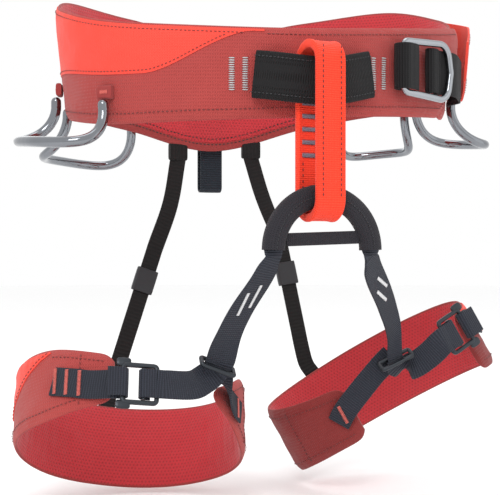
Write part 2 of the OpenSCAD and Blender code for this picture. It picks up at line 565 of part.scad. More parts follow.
// the part of the webbing round the buckle's sliding bar
module leg_wrap(k) color(slate) at_leg(k)
    strap(concat([from_leg_buckle(k, leg_buckle_length / 2 - 2 - leg_travel - 0.3, over_y)],
        [for (a = [0:30:180])
            from_leg_buckle(k, leg_bar_x - leg_layer_y * sin(a), leg_layer_y * cos(a))],
        [from_leg_buckle(k, leg_bar_x + 5, -leg_layer_y)]),
        up, leg_webbing_width, leg_webbing_thickness);
// short strap from the pad's inner end to the ring
module ring_strap(k) color(slate) let (e = k == 0 ? [312, -6] : [330, -2],
        b = cross(ring_way(k), ring_side(k)), m = b * in_harness(k, leg_point(k, e[0], 0, 0))
            > b * rings[k][0] ? 1 : -1,
        low = rings[k][0] + b * m * (ring_short / 2 + 2) + ring_way(k) * 1.5)
    strap(curve([in_harness(k, leg_point(k, e[0], gap + 0.8, e[1])),
        in_harness(k, leg_point(k, e[0] + 8, gap + 1.6, e[1] + (k == 0 ? 3 : 8))),
        mix(in_harness(k, leg_point(k, e[0] + 16, 4, e[1] + (k == 0 ? 8 : 16))), low, 0.5), low], 3),
        [for (i = [0:9]) mix(leg_turned(k, up), ring_side(k), ease(2, 8, i))],
        [for (i = [0:9]) mix(18, leg_webbing_width - 2, i / 9)], 1.4);

// ---- risers: elastic straps from the back of the belt to the back of the leg loops
riser_angles = [192, 168];
riser_legs = [184, 206];
riser_inset = belt_thickness / 2;
function riser_top(k) = belt_point(riser_angles[k], -riser_inset, belt_bottom(riser_angles[k]));
function riser_end(k, out, z) = in_harness(k, leg_point(k, riser_legs[k], out,
    leg_half(k, riser_legs[k]) + z));
riser_bends = [[-58, 91, -122], [56, 90, -112]];
riser_drop = 80;                    // from the bend to where the elastic part starts
function riser_way(k) = unit(riser_end(k, 6, 10) - riser_bends[k]);
function riser_split(k) = riser_bends[k] + riser_way(k) * riser_drop;
slider_at = [29, 33];               // from the bend to the middle of the slider
slider_half = 10;
module riser_tabs() color(brick)
    for (k = [0, 1]) let (p = riser_top(k), t = riser_angles[k])
        translate(p - [0, 0, 5.4]) rotate([0, 0, atan2(belt_tangent(t)[1], belt_tangent(t)[0])])
            cube([riser_width + 5, 5, 8], center = true);
module riser_upper(k) color("#1C1A1A")
    strap(concat(curve([riser_top(k) - [0, 0, 11], mix(riser_top(k), riser_bends[k], 0.5)
        + [k == 0 ? 4 : -1, 2, -6], riser_bends[k]], 4), [riser_split(k)]),
        [1, 0, 0], riser_width, riser_thickness);
module riser_slider(k) color("#26262A") {
    seg = [for (d = [-slider_half, slider_half])
        riser_bends[k] + riser_way(k) * (slider_at[k] + d)];
    hollow_loft(strap_rings(seg, [1, 0, 0], riser_width + 4.4, 5.4),
        strap_rings(seg, [1, 0, 0], riser_width + 1.2, riser_thickness + 1));
}
module riser_lower(k) color("#1C1A1A") {
    p = curve([riser_split(k) + riser_way(k) * 0.8, mix(riser_split(k), riser_end(k, 6, 10), 0.6),
        riser_end(k, 5, 8), riser_end(k, 1.6, -3), riser_end(k, 1.2, -14)], 4);
    n = len(p) - 1;
    strap(p, [for (i = [0:n]) mix([1, 0, 0], leg_turned(k, leg_tangent(k, riser_legs[k]))
        * (k == 0 ? 1 : -1), i / n)], riser_width, riser_thickness);
}

waist_shell();
waist_foam();
waist_lining();
waist_binding();
waist_webbing();
hip_panel_left();
hip_panel_right();
tie_in_sleeve();
tie_in_webbing();
waist_bartacks();
waist_buckle_frame();
waist_buckle_slider();
buckle_anchor_loop();
waist_strap();
strap_wrap();
strap_cover();
haul_loop();
haul_loop_tab();
gear_loop_tabs();
gear_loop(0);  // gear_loop_front_left
gear_loop(1);  // gear_loop_rear_left
gear_loop(2);  // gear_loop_front_right
gear_loop(3);  // gear_loop_rear_right
belay_loop();
belay_loop_bartacks();
leg_tie_in_sleeve();
leg_tie_in_webbing();
cross_strap();
bridge_strap(0);  // bridge_strap_left
bridge_strap(1);  // bridge_strap_right
bridge_bartacks();
riser_tabs();
riser_upper(0);  // riser_upper_left
riser_upper(1);  // riser_upper_right
riser_slider(0);  // riser_slider_left
riser_slider(1);  // riser_slider_right
riser_lower(0);  // riser_lower_left
riser_lower(1);  // riser_lower_right
leg_shell(0);  // leg_shell_left
leg_foam(0);  // leg_foam_left
leg_lining(0);  // leg_lining_left
leg_accent(0);  // leg_accent_left
leg_ring(0);  // leg_ring_left
ring_strap(0);  // ring_strap_left
leg_strap(0);  // leg_strap_left
leg_wrap(0);  // leg_wrap_left
leg_buckle(0);  // leg_buckle_left
leg_buckle_bar(0);  // leg_buckle_bar_left
buckle_strap(0);  // buckle_strap_left
leg_shell(1);  // leg_shell_right
leg_foam(1);  // leg_foam_right
leg_lining(1);  // leg_lining_right
leg_accent(1);  // leg_accent_right
leg_ring(1);  // leg_ring_right
ring_strap(1);  // ring_strap_right
leg_strap(1);  // leg_strap_right
leg_wrap(1);  // leg_wrap_right
leg_buckle(1);  // leg_buckle_right
leg_buckle_bar(1);  // leg_buckle_bar_right
buckle_strap(1);  // buckle_strap_right
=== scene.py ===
# Climbing sit harness: webbing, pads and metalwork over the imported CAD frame
import bpy
import bmesh
import math
import numpy as np
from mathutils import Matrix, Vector


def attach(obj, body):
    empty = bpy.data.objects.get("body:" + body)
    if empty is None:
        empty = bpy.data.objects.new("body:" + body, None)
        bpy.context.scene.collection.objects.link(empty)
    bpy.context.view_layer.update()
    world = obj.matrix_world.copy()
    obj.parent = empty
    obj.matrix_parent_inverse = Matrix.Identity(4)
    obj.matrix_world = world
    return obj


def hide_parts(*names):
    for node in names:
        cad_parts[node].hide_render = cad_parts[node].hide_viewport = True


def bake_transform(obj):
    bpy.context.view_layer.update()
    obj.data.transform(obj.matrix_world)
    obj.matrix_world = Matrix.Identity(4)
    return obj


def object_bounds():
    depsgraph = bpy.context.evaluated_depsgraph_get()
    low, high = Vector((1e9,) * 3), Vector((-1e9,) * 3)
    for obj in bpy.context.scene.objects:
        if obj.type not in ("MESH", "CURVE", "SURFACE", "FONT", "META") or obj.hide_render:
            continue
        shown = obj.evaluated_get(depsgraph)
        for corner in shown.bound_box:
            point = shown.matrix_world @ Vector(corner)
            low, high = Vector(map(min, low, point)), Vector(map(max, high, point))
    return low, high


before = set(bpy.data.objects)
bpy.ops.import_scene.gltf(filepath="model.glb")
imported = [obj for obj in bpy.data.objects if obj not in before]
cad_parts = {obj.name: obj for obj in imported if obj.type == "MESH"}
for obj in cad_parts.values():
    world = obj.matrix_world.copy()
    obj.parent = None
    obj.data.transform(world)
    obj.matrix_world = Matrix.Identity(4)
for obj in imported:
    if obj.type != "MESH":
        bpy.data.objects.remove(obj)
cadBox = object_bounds()
mm = 0.001
up = np.array([0.0, 0.0, 1.0])

# ---- small maths, lengths in mm


def vec(*p):
    return np.array(p, float)


def unit(v):
    v = np.asarray(v, float)
    return v / np.linalg.norm(v)


def ease(a, b, x):
    f = min(max((x - a) / (b - a), 0), 1)
    return f * f * (3 - 2 * f)


def mix(a, b, f):
    return a + (b - a) * f


def cubic(p, q, r, s, f):
    return 0.5 * (2 * q + (r - p) * f + (2 * p - 5 * q + 4 * r - s) * f * f + (3 * q - p - 3 * r + s) * f ** 3)


def through(points, steps):
    p = [np.asarray(q, float) for q in points]
    m = len(p) - 1
    out = []
    for i in range(m):
        a = 2 * p[0] - p[1] if i == 0 else p[i - 1]
        d = 2 * p[m] - p[m - 1] if i == m - 1 else p[i + 2]
        out += [cubic(a, p[i], p[i + 1], d, j / steps) for j in range(steps)]
    return np.array(out + [p[m]])


def resample(points, count, closed=False):
    p = np.asarray(points, float)
    if closed:
        p = np.vstack([p, p[:1]])
    s = np.r_[0, np.cumsum(np.linalg.norm(np.diff(p, axis=0), axis=1))]
    want = np.linspace(0, s[-1], count + 1)[:-1] if closed else np.linspace(0, s[-1], count)
    return np.stack([np.interp(want, s, p[:, i]) for i in range(p.shape[1])], 1)


def tangentsOf(p, closed=False):
    if closed:
        t = np.roll(p, -1, 0) - np.roll(p, 1, 0)
    else:
        t = np.gradient(p, axis=0)
    return t / np.linalg.norm(t, axis=1)[:, None]


# ---- the belt, t is the angle round the waist, 0 at the front and 90 at the buckle hip
belt = {"halfWidth": 166, "halfDepth": 108, "thickness": 8, "lap": 8.6, "flare": 0.1, "rise": 0.05,
        "topEdge": [33, 37, 46, 62, 77, 73, 62], "bottomEdge": [-30, -29, -27, -20, -14, -21, -38],
        "start": 50, "end": 417, "slant": 40}


def edgeHeight(table, t):
    x = abs((t + 180) % 360 - 180) / 30
    i = min(int(x), 5)
    e = [table[-k if k < 0 else 12 - k if k > 6 else k] for k in range(i - 1, i + 3)]
    return cubic(*e, x - i)


def beltRise(t):
    return belt["rise"] * belt["halfWidth"] * math.sin(math.radians(t))


def beltTop(t):
    return edgeHeight(belt["topEdge"], t) + beltRise(t)


def beltBottom(t):
    return edgeHeight(belt["bottomEdge"], t) + beltRise(t)


def beltNormal(t):
    r = math.radians(t)
    return unit([math.sin(r) / belt["halfWidth"], -math.cos(r) / belt["halfDepth"], 0])


def beltTangent(t):
    return np.cross(up, beltNormal(t))


def beltPoint(t, out, z):
    r = math.radians(t)
    lap = belt["lap"] * ease(330, 378, t)
    flare = belt["flare"] * (70 - z) * math.sin(r) ** 2
    return vec(belt["halfWidth"] * math.sin(r), -belt["halfDepth"] * math.cos(r),
            z) + beltNormal(t) * (out + lap - flare)


def corner(x, r):
    return 0 if x <= 0 else r * (1 - math.sqrt(max(1 - x * x, 0)))


def padLow(t):
    cut = belt["slant"] * (max(t - belt["end"] + 16, 0) / 16) ** 1.3
    return beltBottom(t) + cut + corner(1 - (t - belt["start"]) / 6, 8)


def padHigh(t):
    return beltTop(t) - corner(max(1 - (belt["end"] - t) / 5, 1 - (t - belt["start"]) / 6), 8)


# ---- the leg loops, s is the angle round the thigh, 0 at the front; index 0 is the left one
legs = [
    {"side": "left", "place": vec(-108, -4, -248), "tilt": (-27, 11, 0), "size": (89, 74), "run": (25, 332),
     "buckle": (14, -8), "strapEnd": (56, 0), "heights": [30, 38, 54, 58, 62, 66, 66, 66, 64, 62, 56, 16],
     "ring": vec(-67, -76, -206), "ringWay": unit([-0.3, 0.55, -0.8]), "ringSide": vec(0.82, 0.1, -0.5)},
    {"side": "right", "place": vec(106, -2, -235), "tilt": (-1, -29, -20), "size": (94, 56), "run": (56, 340),
     "buckle": (44, 15), "strapEnd": (84, 8), "heights": [44, 46, 52, 58, 62, 64, 64, 62, 60, 58, 52, 46],
     "ring": vec(86, -62, -208), "ringWay": unit([0.5, 0.4, -0.8]), "ringSide": vec(0.9, -0.15, 0.25)}]
for leg in legs:
    w = leg["ringWay"]
    leg["ringSide"] = unit(leg["ringSide"] - leg["ringSide"].dot(w) * w)
    leg["body"] = "leg_" + leg["side"]


def turnMatrix(tilt):
    x, y, z = (math.radians(a) for a in tilt)
    rx = np.array([[1, 0, 0], [0, math.cos(x), -math.sin(x)], [0, math.sin(x), math.cos(x)]])
    ry = np.array([[math.cos(y), 0, math.sin(y)], [0, 1, 0], [-math.sin(y), 0, math.cos(y)]])
    rz = np.array([[math.cos(z), -math.sin(z), 0], [math.sin(z), math.cos(z), 0], [0, 0, 1]])
    return rz @ ry @ rx


def legTurned(leg, v):
    v = np.asarray(v, float)
    return turnMatrix(leg["tilt"]) @ (v * [-1 if leg["side"] == "left" else 1, 1, 1])


def inHarness(leg, v):
    return leg["place"] + legTurned(leg, v)


def legNormal(leg, s):
    r = math.radians(s)
    return unit([math.sin(r) / leg["size"][0], -math.cos(r) / leg["size"][1], 0])


def legTangent(leg, s):
    return np.cross(up, legNormal(leg, s))


def legPoint(leg, s, out, z):
    r = math.radians(s)
    return vec(leg["size"][0] * math.sin(r), -leg["size"][1] * math.cos(r), z) + legNormal(leg, s) * out


def legHalf(leg, s):
    x = (s % 360) / 30
    i = int(x)
    h = [leg["heights"][(i + k) % 12] for k in (-1, 0, 1, 2)]
    a, b = leg["run"]
    return cubic(*h, x - i) / 2 - corner(max(1 - (s - a) / 8, 1 - (b - s) / 8), 6)


# ---- meshes


def makeMesh(name, points, faces, uvs=None, slots=None, materials=()):
    mesh = bpy.data.meshes.new(name)
    mesh.from_pydata([tuple(p) for p in np.asarray(points) * mm], [], faces)
    if uvs is not None:
        layer = mesh.uv_layers.new(name="UVMap")
        layer.data.foreach_set("uv", np.asarray(uvs, np.float32).ravel())
    for m in materials:
        mesh.materials.append(m)
    if slots is not None:
        mesh.polygons.foreach_set("material_index", np.asarray(slots, np.int32))
    obj = bpy.data.objects.new(name, mesh)
    bpy.context.scene.collection.objects.link(obj)
    return obj


def facesOut(obj):
    b = bmesh.new()
    b.from_mesh(obj.data)
    bmesh.ops.recalc_face_normals(b, faces=b.faces)
    b.to_mesh(obj.data)
    b.free()


def shade(obj, angle=40):
    obj.data.shade_smooth()
    obj.data.set_sharp_from_angle(angle=math.radians(angle))
    return obj


# rings has one ring of points per station; along and around are the lengths for its UV map
def loft(name, rings, along, around, materials, closed=False, pairedEnds=False, slotOf=None, angle=40):
    rings = np.asarray(rings, float)
    n, k = rings.shape[:2]
    around = np.broadcast_to(around, (n, k + 1))
    faces, uvs, slots = [], [], []
    for i in range(n if closed else n - 1):
        a, b = i * k, (i + 1) % n * k
        v, w = around[i], around[(i + 1) % n]
        for j in range(k):
            m = (j + 1) % k
            faces.append((a + j, a + m, b + m, b + j))
            uvs += [(along[i], v[j]), (along[i], v[j + 1]), (along[i + 1], w[j + 1]), (along[i + 1], w[j])]
            slots.append(slotOf(i, j) if slotOf else 0)
    if not closed:
        for e, base in ((0, 0), (n - 1, (n - 1) * k)):
            if pairedEnds:
                for j in range(k // 2 - 1):
                    q = (j, j + 1, k - 2 - j, k - 1 - j)
                    faces.append(tuple(base + x for x in (q if e == 0 else q[::-1])))
                    uvs += [(along[e], around[e][j])] * 4
                    slots.append(slotOf(min(e, n - 2), j) if slotOf else 0)
            else:
                q = list(range(k))
                faces.append(tuple(base + x for x in (q if e == 0 else q[::-1])))
                uvs += [(along[e], around[e][j]) for j in (q if e == 0 else q[::-1])]
                slots.append(0)
    obj = makeMesh(name, rings.reshape(-1, 3), faces, uvs, slots, materials)
    facesOut(obj)
    return shade(obj, angle)


def lengthsOf(p, closed=False):
    q = np.vstack([p, p[:1]]) if closed else p
    return np.r_[0, np.cumsum(np.linalg.norm(np.diff(q, axis=0), axis=1))]


# points evenly along a path, with the way across, the way out and the width at each
def carried(path, across, width, step, closed):
    path = np.asarray(path, float)
    across = np.broadcast_to(np.asarray(across, float), path.shape)
    width = np.broadcast_to(np.asarray(width, float), len(path))
    length = lengthsOf(path, closed)[-1]
    both = resample(np.hstack([path, across, width[:, None]]), max(int(length / step), 8), closed)
    p, a, wide = both[:, :3], both[:, 3:6], both[:, 6]
    t = tangentsOf(p, closed)
    w = a - np.sum(a * t, 1)[:, None] * t
    w /= np.linalg.norm(w, axis=1)[:, None]
    return p, w, np.cross(t, w), wide


# webbing: a flat section with rounded edges, carried along a path
def webbing(name, path, across, width, thick, material, closed=False, crown=0.0, rim=0.0, step=1.6):
    p, w, n, wide = carried(path, across, width, step, closed)
    half = thick / 2
    top = [(x, half + crown * (1 - x * x) + (rim if 0.7 < abs(x) < 0.95 else 0)) for x in
           (-1, -0.93, -0.82, -0.66, -0.33, 0, 0.33, 0.66, 0.82, 0.93, 1)]
    section = top + [(1.0, 0.3 * half), (1.0, -0.3 * half)] + [(x, -y) for x, y in reversed(top)]
    section += [(-1.0, -0.3 * half), (-1.0, 0.3 * half)]
    rings, around = [], []
    for x, y in section:
        inset = 0.4 if abs(x) == 1.0 and abs(y) >= half else 0.0
        rings.append(p + w * (x * (wide / 2 - inset))[:, None] + n * y)
        around.append(x * float(wide.mean()) / 2)
    return loft(name, np.stack(rings, 1), lengthsOf(p, closed), around + [around[0]], [material], closed=closed)


# a round or squared-off tube along a path; radii may change along it
def tube(name, path, across, half, depth, material, power=2.0, sides=24, closed=False, scale=None, step=2.0):
    p, w, n, size = carried(path, across, 1.0 if scale is None else scale, step, closed)
    rings, around = [], []
    for j in range(sides):
        a = 2 * math.pi * j / sides
        c, s = math.cos(a), math.sin(a)
        x = math.copysign(abs(c) ** (2 / power), c) * half
        y = math.copysign(abs(s) ** (2 / power), s) * depth
        rings.append(p + w * (x * size)[:, None] + n * (y * size)[:, None])
        around.append(j / sides * 2 * (half + depth) * 1.2)
    around.append(2 * (half + depth) * 1.2)
    return loft(name, np.stack(rings, 1), lengthsOf(p, closed), around, [material], closed=closed, angle=60)


# a closed metal frame: a rounded section carried round a flat outline
def roundFrame(name, outline, wide, high, place, material, power=2.5, sides=14):
    p = np.asarray(outline, float)
    t = tangentsOf(p, True)
    inward = np.stack([-t[:, 1], t[:, 0]], 1)
    rings = []
    for j in range(sides):
        a = 2 * math.pi * j / sides
        c, s = math.cos(a), math.sin(a)
        x = math.copysign(abs(c) ** (2 / power), c) * wide / 2
        y = math.copysign(abs(s) ** (2 / power), s) * high / 2
        flat = p + inward * (wide / 2 - x)
        rings.append([place(q[0], q[1], y) for q in flat])
    rings = np.stack(rings, 1)
    return loft(name, rings, lengthsOf(p, True), np.linspace(0, 2 * (wide + high), sides + 1), [material],
            closed=True, angle=60)


def hullOf(points):
    pts = sorted(set((round(float(x), 5), round(float(y), 5)) for x, y in points))
    half = []
    for run in (pts, pts[::-1]):
        part = []
        for q in run:
            while len(part) > 1 and (part[-1][0] - part[-2][0]) * (q[1] - part[-2][1]) - \
                    (part[-1][1] - part[-2][1]) * (q[0] - part[-2][0]) <= 0:
                part.pop()
            part.append(q)
        half += part[:-1]
    return half


def circleAt(x, y, r, count=32):
    a = np.linspace(0, 2 * math.pi, count, endpoint=False)
    return [(x + r * math.cos(b), y + r * math.sin(b)) for b in a]


def roundedBox(x, y, r, count=72):
    pts = [q for i in (-1, 1) for j in (-1, 1) for q in circleAt(i * (x / 2 - r), j * (y / 2 - r), r)]
    return resample(hullOf(pts), count, True)


# ---- materials; patterns read the UV map, which is in mm


def linear(code):
    c = [int(code[i:i + 2], 16) / 255 for i in (0, 2, 4)]
    return [x / 12.92 if x <= 0.04045 else ((x + 0.055) / 1.055) ** 2.4 for x in c] + [1]


def node(tree, kind, links=None, **settings):
    n = tree.nodes.new(kind)
    for key, value in settings.items():
        setattr(n, key, value)
    for key, value in (links or {}).items():
        if isinstance(value, bpy.types.NodeSocket):
            tree.links.new(value, n.inputs[key])
        else:
            n.inputs[key].default_value = value
    return n


def newMaterial(name, colour, **sockets):
    m = bpy.data.materials.new(name)
    m.use_nodes = True
    m.diffuse_color = linear(colour)
    shader = m.node_tree.nodes["Principled BSDF"]
    shader.inputs["Base Color"].default_value = linear(colour)
    for key, value in sockets.items():
        shader.inputs[key.replace("_", " ")].default_value = value
    return m, m.node_tree, shader


def sine(tree, value, period, shift=0.0):
    turned = node(tree, "ShaderNodeMath", {0: value, 1: 2 * math.pi / period, 2: shift}, operation="MULTIPLY_ADD")
    return node(tree, "ShaderNodeMath", {0: turned.outputs[0]}, operation="SINE").outputs[0]


def tinted(tree, shader, base, other, fac):
    ramp = node(tree, "ShaderNodeMix", {0: fac, 6: linear(base), 7: linear(other)}, data_type="RGBA")
    tree.links.new(ramp.outputs[2], shader.inputs["Base Color"])
    return ramp


# dyed cloth: fine threads both ways, a slow change of tone, and soft creases
def clothMaterial(name, colour, deep, threadU, threadV, depth=0.18, relief=0.35, rough=0.82, patch=0.35, sheen=0.15):
    m, t, s = newMaterial(name, colour, Roughness=rough, Sheen_Weight=sheen, Sheen_Roughness=0.5, IOR=1.53,
                            Specular_IOR_Level=0.3)
    uv = node(t, "ShaderNodeSeparateXYZ", {0: node(t, "ShaderNodeUVMap").outputs[0]})
    warp, weft = sine(t, uv.outputs[0], threadU), sine(t, uv.outputs[1], threadV)
    both = node(t, "ShaderNodeMath", {0: warp, 1: weft}, operation="MULTIPLY").outputs[0]
    ribs = node(t, "ShaderNodeMath", {0: warp, 1: 0.6, 2: both}, operation="MULTIPLY_ADD").outputs[0]
    where = node(t, "ShaderNodeTexCoord").outputs["Object"]
    cloud = node(t, "ShaderNodeTexNoise",
            {"Vector": where, "Scale": 22.0, "Detail": 3.0, "Roughness": 0.6}).outputs[0]
    fuzz = node(t, "ShaderNodeTexNoise", {"Vector": where, "Scale": 900.0, "Detail": 2.0}).outputs[0]
    tone = node(t, "ShaderNodeMath", {0: ribs, 1: depth, 2: 0.12}, operation="MULTIPLY_ADD").outputs[0]
    tone = node(t, "ShaderNodeMath", {0: cloud, 1: patch, 2: tone}, operation="MULTIPLY_ADD").outputs[0]
    tinted(t, s, colour, deep, node(t, "ShaderNodeClamp", {0: tone}).outputs[0])
    height = node(t, "ShaderNodeMath", {0: fuzz, 1: 0.6, 2: ribs}, operation="MULTIPLY_ADD").outputs[0]
    fine = node(t, "ShaderNodeBump", {"Height": height, "Strength": relief, "Distance": 0.0003})
    slow = node(t, "ShaderNodeTexNoise",
            {"Vector": where, "Scale": 60.0, "Detail": 3.0, "Distortion": 0.6}).outputs[0]
    crease = node(t, "ShaderNodeBump", {"Height": slow, "Strength": 0.45, "Distance": 0.003,
            "Normal": fine.outputs[0]})
    t.links.new(crease.outputs[0], s.inputs["Normal"])
    return m


# webbing: ribs across the strap, fine cords along it, with painted shade in the valleys and a patchy painted highlight
# on the ridges
def webbingMaterial(name, colour, deep, pale, rib=2.0, cord=1.5, depth=0.5, rough=0.7, relief=0.6, sheen=0.1):
    m, t, s = newMaterial(name, colour, Roughness=rough, Sheen_Weight=sheen, Sheen_Roughness=0.4, IOR=1.53,
                            Specular_IOR_Level=0.25)
    uv = node(t, "ShaderNodeSeparateXYZ", {0: node(t, "ShaderNodeUVMap").outputs[0]})
    ribs = sine(t, uv.outputs[0], rib)
    cords = sine(t, uv.outputs[1], cord)
    where = node(t, "ShaderNodeTexCoord").outputs["Object"]
    cloud = node(t, "ShaderNodeTexNoise",
            {"Vector": where, "Scale": 60.0, "Detail": 4.0, "Roughness": 0.65}).outputs[0]
    ridge = node(t, "ShaderNodeMath", {0: cords, 1: 0.25, 2: ribs}, operation="MULTIPLY_ADD").outputs[0]
    # painted shade: the valleys between the ribs are mixed towards the deep colour
    low = node(t, "ShaderNodeMapRange", {0: ridge, 1: 0.2, 2: -1.1, 3: 0.0, 4: depth}).outputs[0]
    body = node(t, "ShaderNodeMix", {0: low, 6: linear(colour), 7: linear(deep)}, data_type="RGBA").outputs[2]
    # painted highlight: the tops of the ridges are mixed towards the pale colour, in patches
    high = node(t, "ShaderNodeMapRange", {0: ridge, 1: 0.5, 2: 1.2, 3: 0.0, 4: 0.4}).outputs[0]
    ridgeHighlightMask = node(t, "ShaderNodeMath", {0: high, 1: cloud}, operation="MULTIPLY").outputs[0]
    ridgeLitColour = node(t, "ShaderNodeMix", {0: ridgeHighlightMask, 6: body, 7: linear(pale)}, data_type="RGBA").outputs[2]
    t.links.new(ridgeLitColour, s.inputs["Base Color"])
    fuzz = node(t, "ShaderNodeTexNoise", {"Vector": where, "Scale": 1200.0, "Detail": 2.0}).outputs[0]
    height = node(t, "ShaderNodeMath", {0: fuzz, 1: 0.5, 2: ridge}, operation="MULTIPLY_ADD").outputs[0]
    bump = node(t, "ShaderNodeBump", {"Height": height, "Strength": relief, "Distance": 0.0005})
    t.links.new(bump.outputs[0], s.inputs["Normal"])
    return m


# perforated knit: round holes in staggered rows, 3 mm apart, over darker foam
def meshMaterial(name, colour, deep, pitch=3.0, hole=0.7):
    m, t, s = newMaterial(name, colour, Roughness=0.85, Sheen_Weight=0.2, Sheen_Roughness=0.5, IOR=1.53)
    uv = node(t, "ShaderNodeUVMap").outputs[0]
    cell = (pitch, pitch * 0.866 * 2, 1.0)
    gaps = []
    for shift in ((0, 0, 0), (pitch / 2, pitch * 0.866, 0)):
        moved = node(t, "ShaderNodeVectorMath", {0: uv, 1: shift}, operation="ADD").outputs[0]
        cells = node(t, "ShaderNodeVectorMath", {0: moved, 1: cell}, operation="DIVIDE").outputs[0]
        part = node(t, "ShaderNodeVectorMath", {0: cells}, operation="FRACTION").outputs[0]
        centred = node(t, "ShaderNodeVectorMath", {0: part, 1: (0.5, 0.5, 0)}, operation="SUBTRACT").outputs[0]
        inMm = node(t, "ShaderNodeVectorMath", {0: centred, 1: (cell[0], cell[1], 0)},
                operation="MULTIPLY").outputs[0]
        gaps.append(node(t, "ShaderNodeVectorMath", {0: inMm}, operation="LENGTH").outputs["Value"])
    near = node(t, "ShaderNodeMath", {0: gaps[0], 1: gaps[1]}, operation="MINIMUM").outputs[0]
    holes = node(t, "ShaderNodeMapRange", {0: near, 1: hole + 0.3, 2: hole - 0.2, 3: 0.0, 4: 1.0},
                 interpolation_type="SMOOTHSTEP").outputs[0]
    where = node(t, "ShaderNodeTexCoord").outputs["Object"]
    cloud = node(t, "ShaderNodeTexNoise", {"Vector": where, "Scale": 18.0, "Detail": 3.0}).outputs[0]
    patch = node(t, "ShaderNodeMath", {0: cloud, 1: 0.45, 2: -0.1}, operation="MULTIPLY_ADD").outputs[0]
    tone = node(t, "ShaderNodeMath", {0: holes, 1: 0.42, 2: patch}, operation="MULTIPLY_ADD").outputs[0]
    tinted(t, s, colour, deep, node(t, "ShaderNodeClamp", {0: tone}).outputs[0])
    fuzz = node(t, "ShaderNodeTexNoise", {"Vector": where, "Scale": 900.0, "Detail": 2.0}).outputs[0]
    height = node(t, "ShaderNodeMath", {0: holes, 1: -1.5, 2: fuzz}, operation="MULTIPLY_ADD").outputs[0]
    bump = node(t, "ShaderNodeBump", {"Height": height, "Strength": 0.5, "Distance": 0.0005})
    t.links.new(bump.outputs[0], s.inputs["Normal"])
    return m


# metal: fine drawn scratches and finger marks in the roughness
def metalMaterial(name, colour, deep, rough, metallic=1.0, grain=260.0, relief=0.05, spread=0.12):
    m, t, s = newMaterial(name, colour, Roughness=rough, Metallic=metallic)
    where = node(t, "ShaderNodeTexCoord").outputs["Object"]
    cloud = node(t, "ShaderNodeTexNoise", {"Vector": where, "Scale": 45.0, "Detail": 4.0}).outputs[0]
    marks = node(t, "ShaderNodeTexNoise",
            {"Vector": where, "Scale": grain, "Detail": 3.0, "Distortion": 0.4}).outputs[0]
    tinted(t, s, colour, deep, node(t, "ShaderNodeMath", {0: cloud, 1: 0.5}, operation="MULTIPLY").outputs[0])
    dull = node(t, "ShaderNodeMapRange", {0: marks, 1: 0.3, 2: 0.7, 3: rough, 4: rough + spread}).outputs[0]
    t.links.new(dull, s.inputs["Roughness"])
    bump = node(t, "ShaderNodeBump", {"Height": marks, "Strength": relief, "Distance": 0.0002})
    t.links.new(bump.outputs[0], s.inputs["Normal"])
    return m


# thread: glossy twisted strands
def threadMaterial(name, colour, deep, rough=0.55):
    m, t, s = newMaterial(name, colour, Roughness=rough, Sheen_Weight=0.2, IOR=1.5)
    where = node(t, "ShaderNodeTexCoord").outputs["Object"]
    twist = node(t, "ShaderNodeTexNoise", {"Vector": where, "Scale": 1500.0, "Detail": 1.0}).outputs[0]
    tinted(t, s, colour, deep, twist)
    bump = node(t, "ShaderNodeBump", {"Height": twist, "Strength": 0.4, "Distance": 0.0002})
    t.links.new(bump.outputs[0], s.inputs["Normal"])
    return m


# nylon ottoman: low upright ribs, matt brick red; threads drawn at 1.7 mm so that they show
brickNylon = clothMaterial("nylon ottoman, woven and dyed brick", "B54642", "822C2B", 1.7, 2.4, depth=0.14,
        relief=0.6)
# the same cloth darkened as painted shade, on the right leg, which falls in less light
paintedShadeNylon = clothMaterial("nylon ottoman, woven brick, painted shade", "8F302E", "641F1F", 1.7, 2.4, depth=0.14,
        relief=0.6)
# ripstop: bright coral with a small even grid, a little shine
coralRipstop = clothMaterial("nylon ripstop, woven and dyed coral", "F44B3A", "C92C22", 1.9, 1.9, depth=0.12,
        relief=0.4,
                             rough=0.6, patch=0.25, sheen=0.1)
# folded tape: smoother and darker than the shell
tapeNylon = clothMaterial("nylon tape, woven and folded", "A03A38", "782928", 1.2, 3.0, depth=0.12, relief=0.35)
redMesh = meshMaterial("polyester mesh, knitted and perforated", "C32B33", "7A1820")
# tight black weave of the sleeve over the tie-in webbing: matt, small checks
blackWeave = clothMaterial("nylon basket weave, black", "161517", "060606", 1.6, 1.6, depth=0.4, relief=0.9,
        rough=0.8, patch=0.3, sheen=0.03)
blackWebbing = webbingMaterial("polyamide webbing, black", "161517", "050505", "2E2D2F", rib=1.8, rough=0.75,
        sheen=0.03)
slateWebbing = webbingMaterial("polyamide webbing, slate", "2C2F39", "101217", "474C58", rib=1.8, depth=0.5,
        sheen=0.05)
haulWebbing = webbingMaterial("polyamide webbing, dark slate", "1F2730", "0C1015", "38424D", rib=2.0, depth=0.6)
# sewn loop webbing: bright, tight, with a shallow rib
loopWebbing = webbingMaterial("polyamide webbing, orange red", "FB4126", "D22815", "FF6A4A", rib=1.5, cord=2.2,
        depth=0.3, relief=0.45)
archWeave = clothMaterial("nylon sleeve, woven charcoal", "2B2930", "151418", 1.4, 1.4, depth=0.3, relief=0.8,
        rough=0.78, sheen=0.05)
elasticTape = webbingMaterial("elastic tape, black", "131111", "050505", "262323", rib=3.2, cord=1.0, depth=0.3,
        relief=0.3)
# forged aluminium, tumbled and polished: bright with soft streaks; its grey is darkened as a painted reflection of dark
# surroundings
polishedAluminium = metalMaterial("aluminium, forged and polished", "A9ACB1", "6F7378", 0.13)
# stainless gear loop tube under clear sleeve: very shiny; its grey is darkened as a painted reflection of dark
# surroundings
polishedTube = metalMaterial("steel tube, bent and polished", "8F9297", "55585D", 0.1, spread=0.08)
gunmetal = metalMaterial("aluminium, cast and dark anodised", "3E4247", "222529", 0.34, metallic=0.75, relief=0.15)
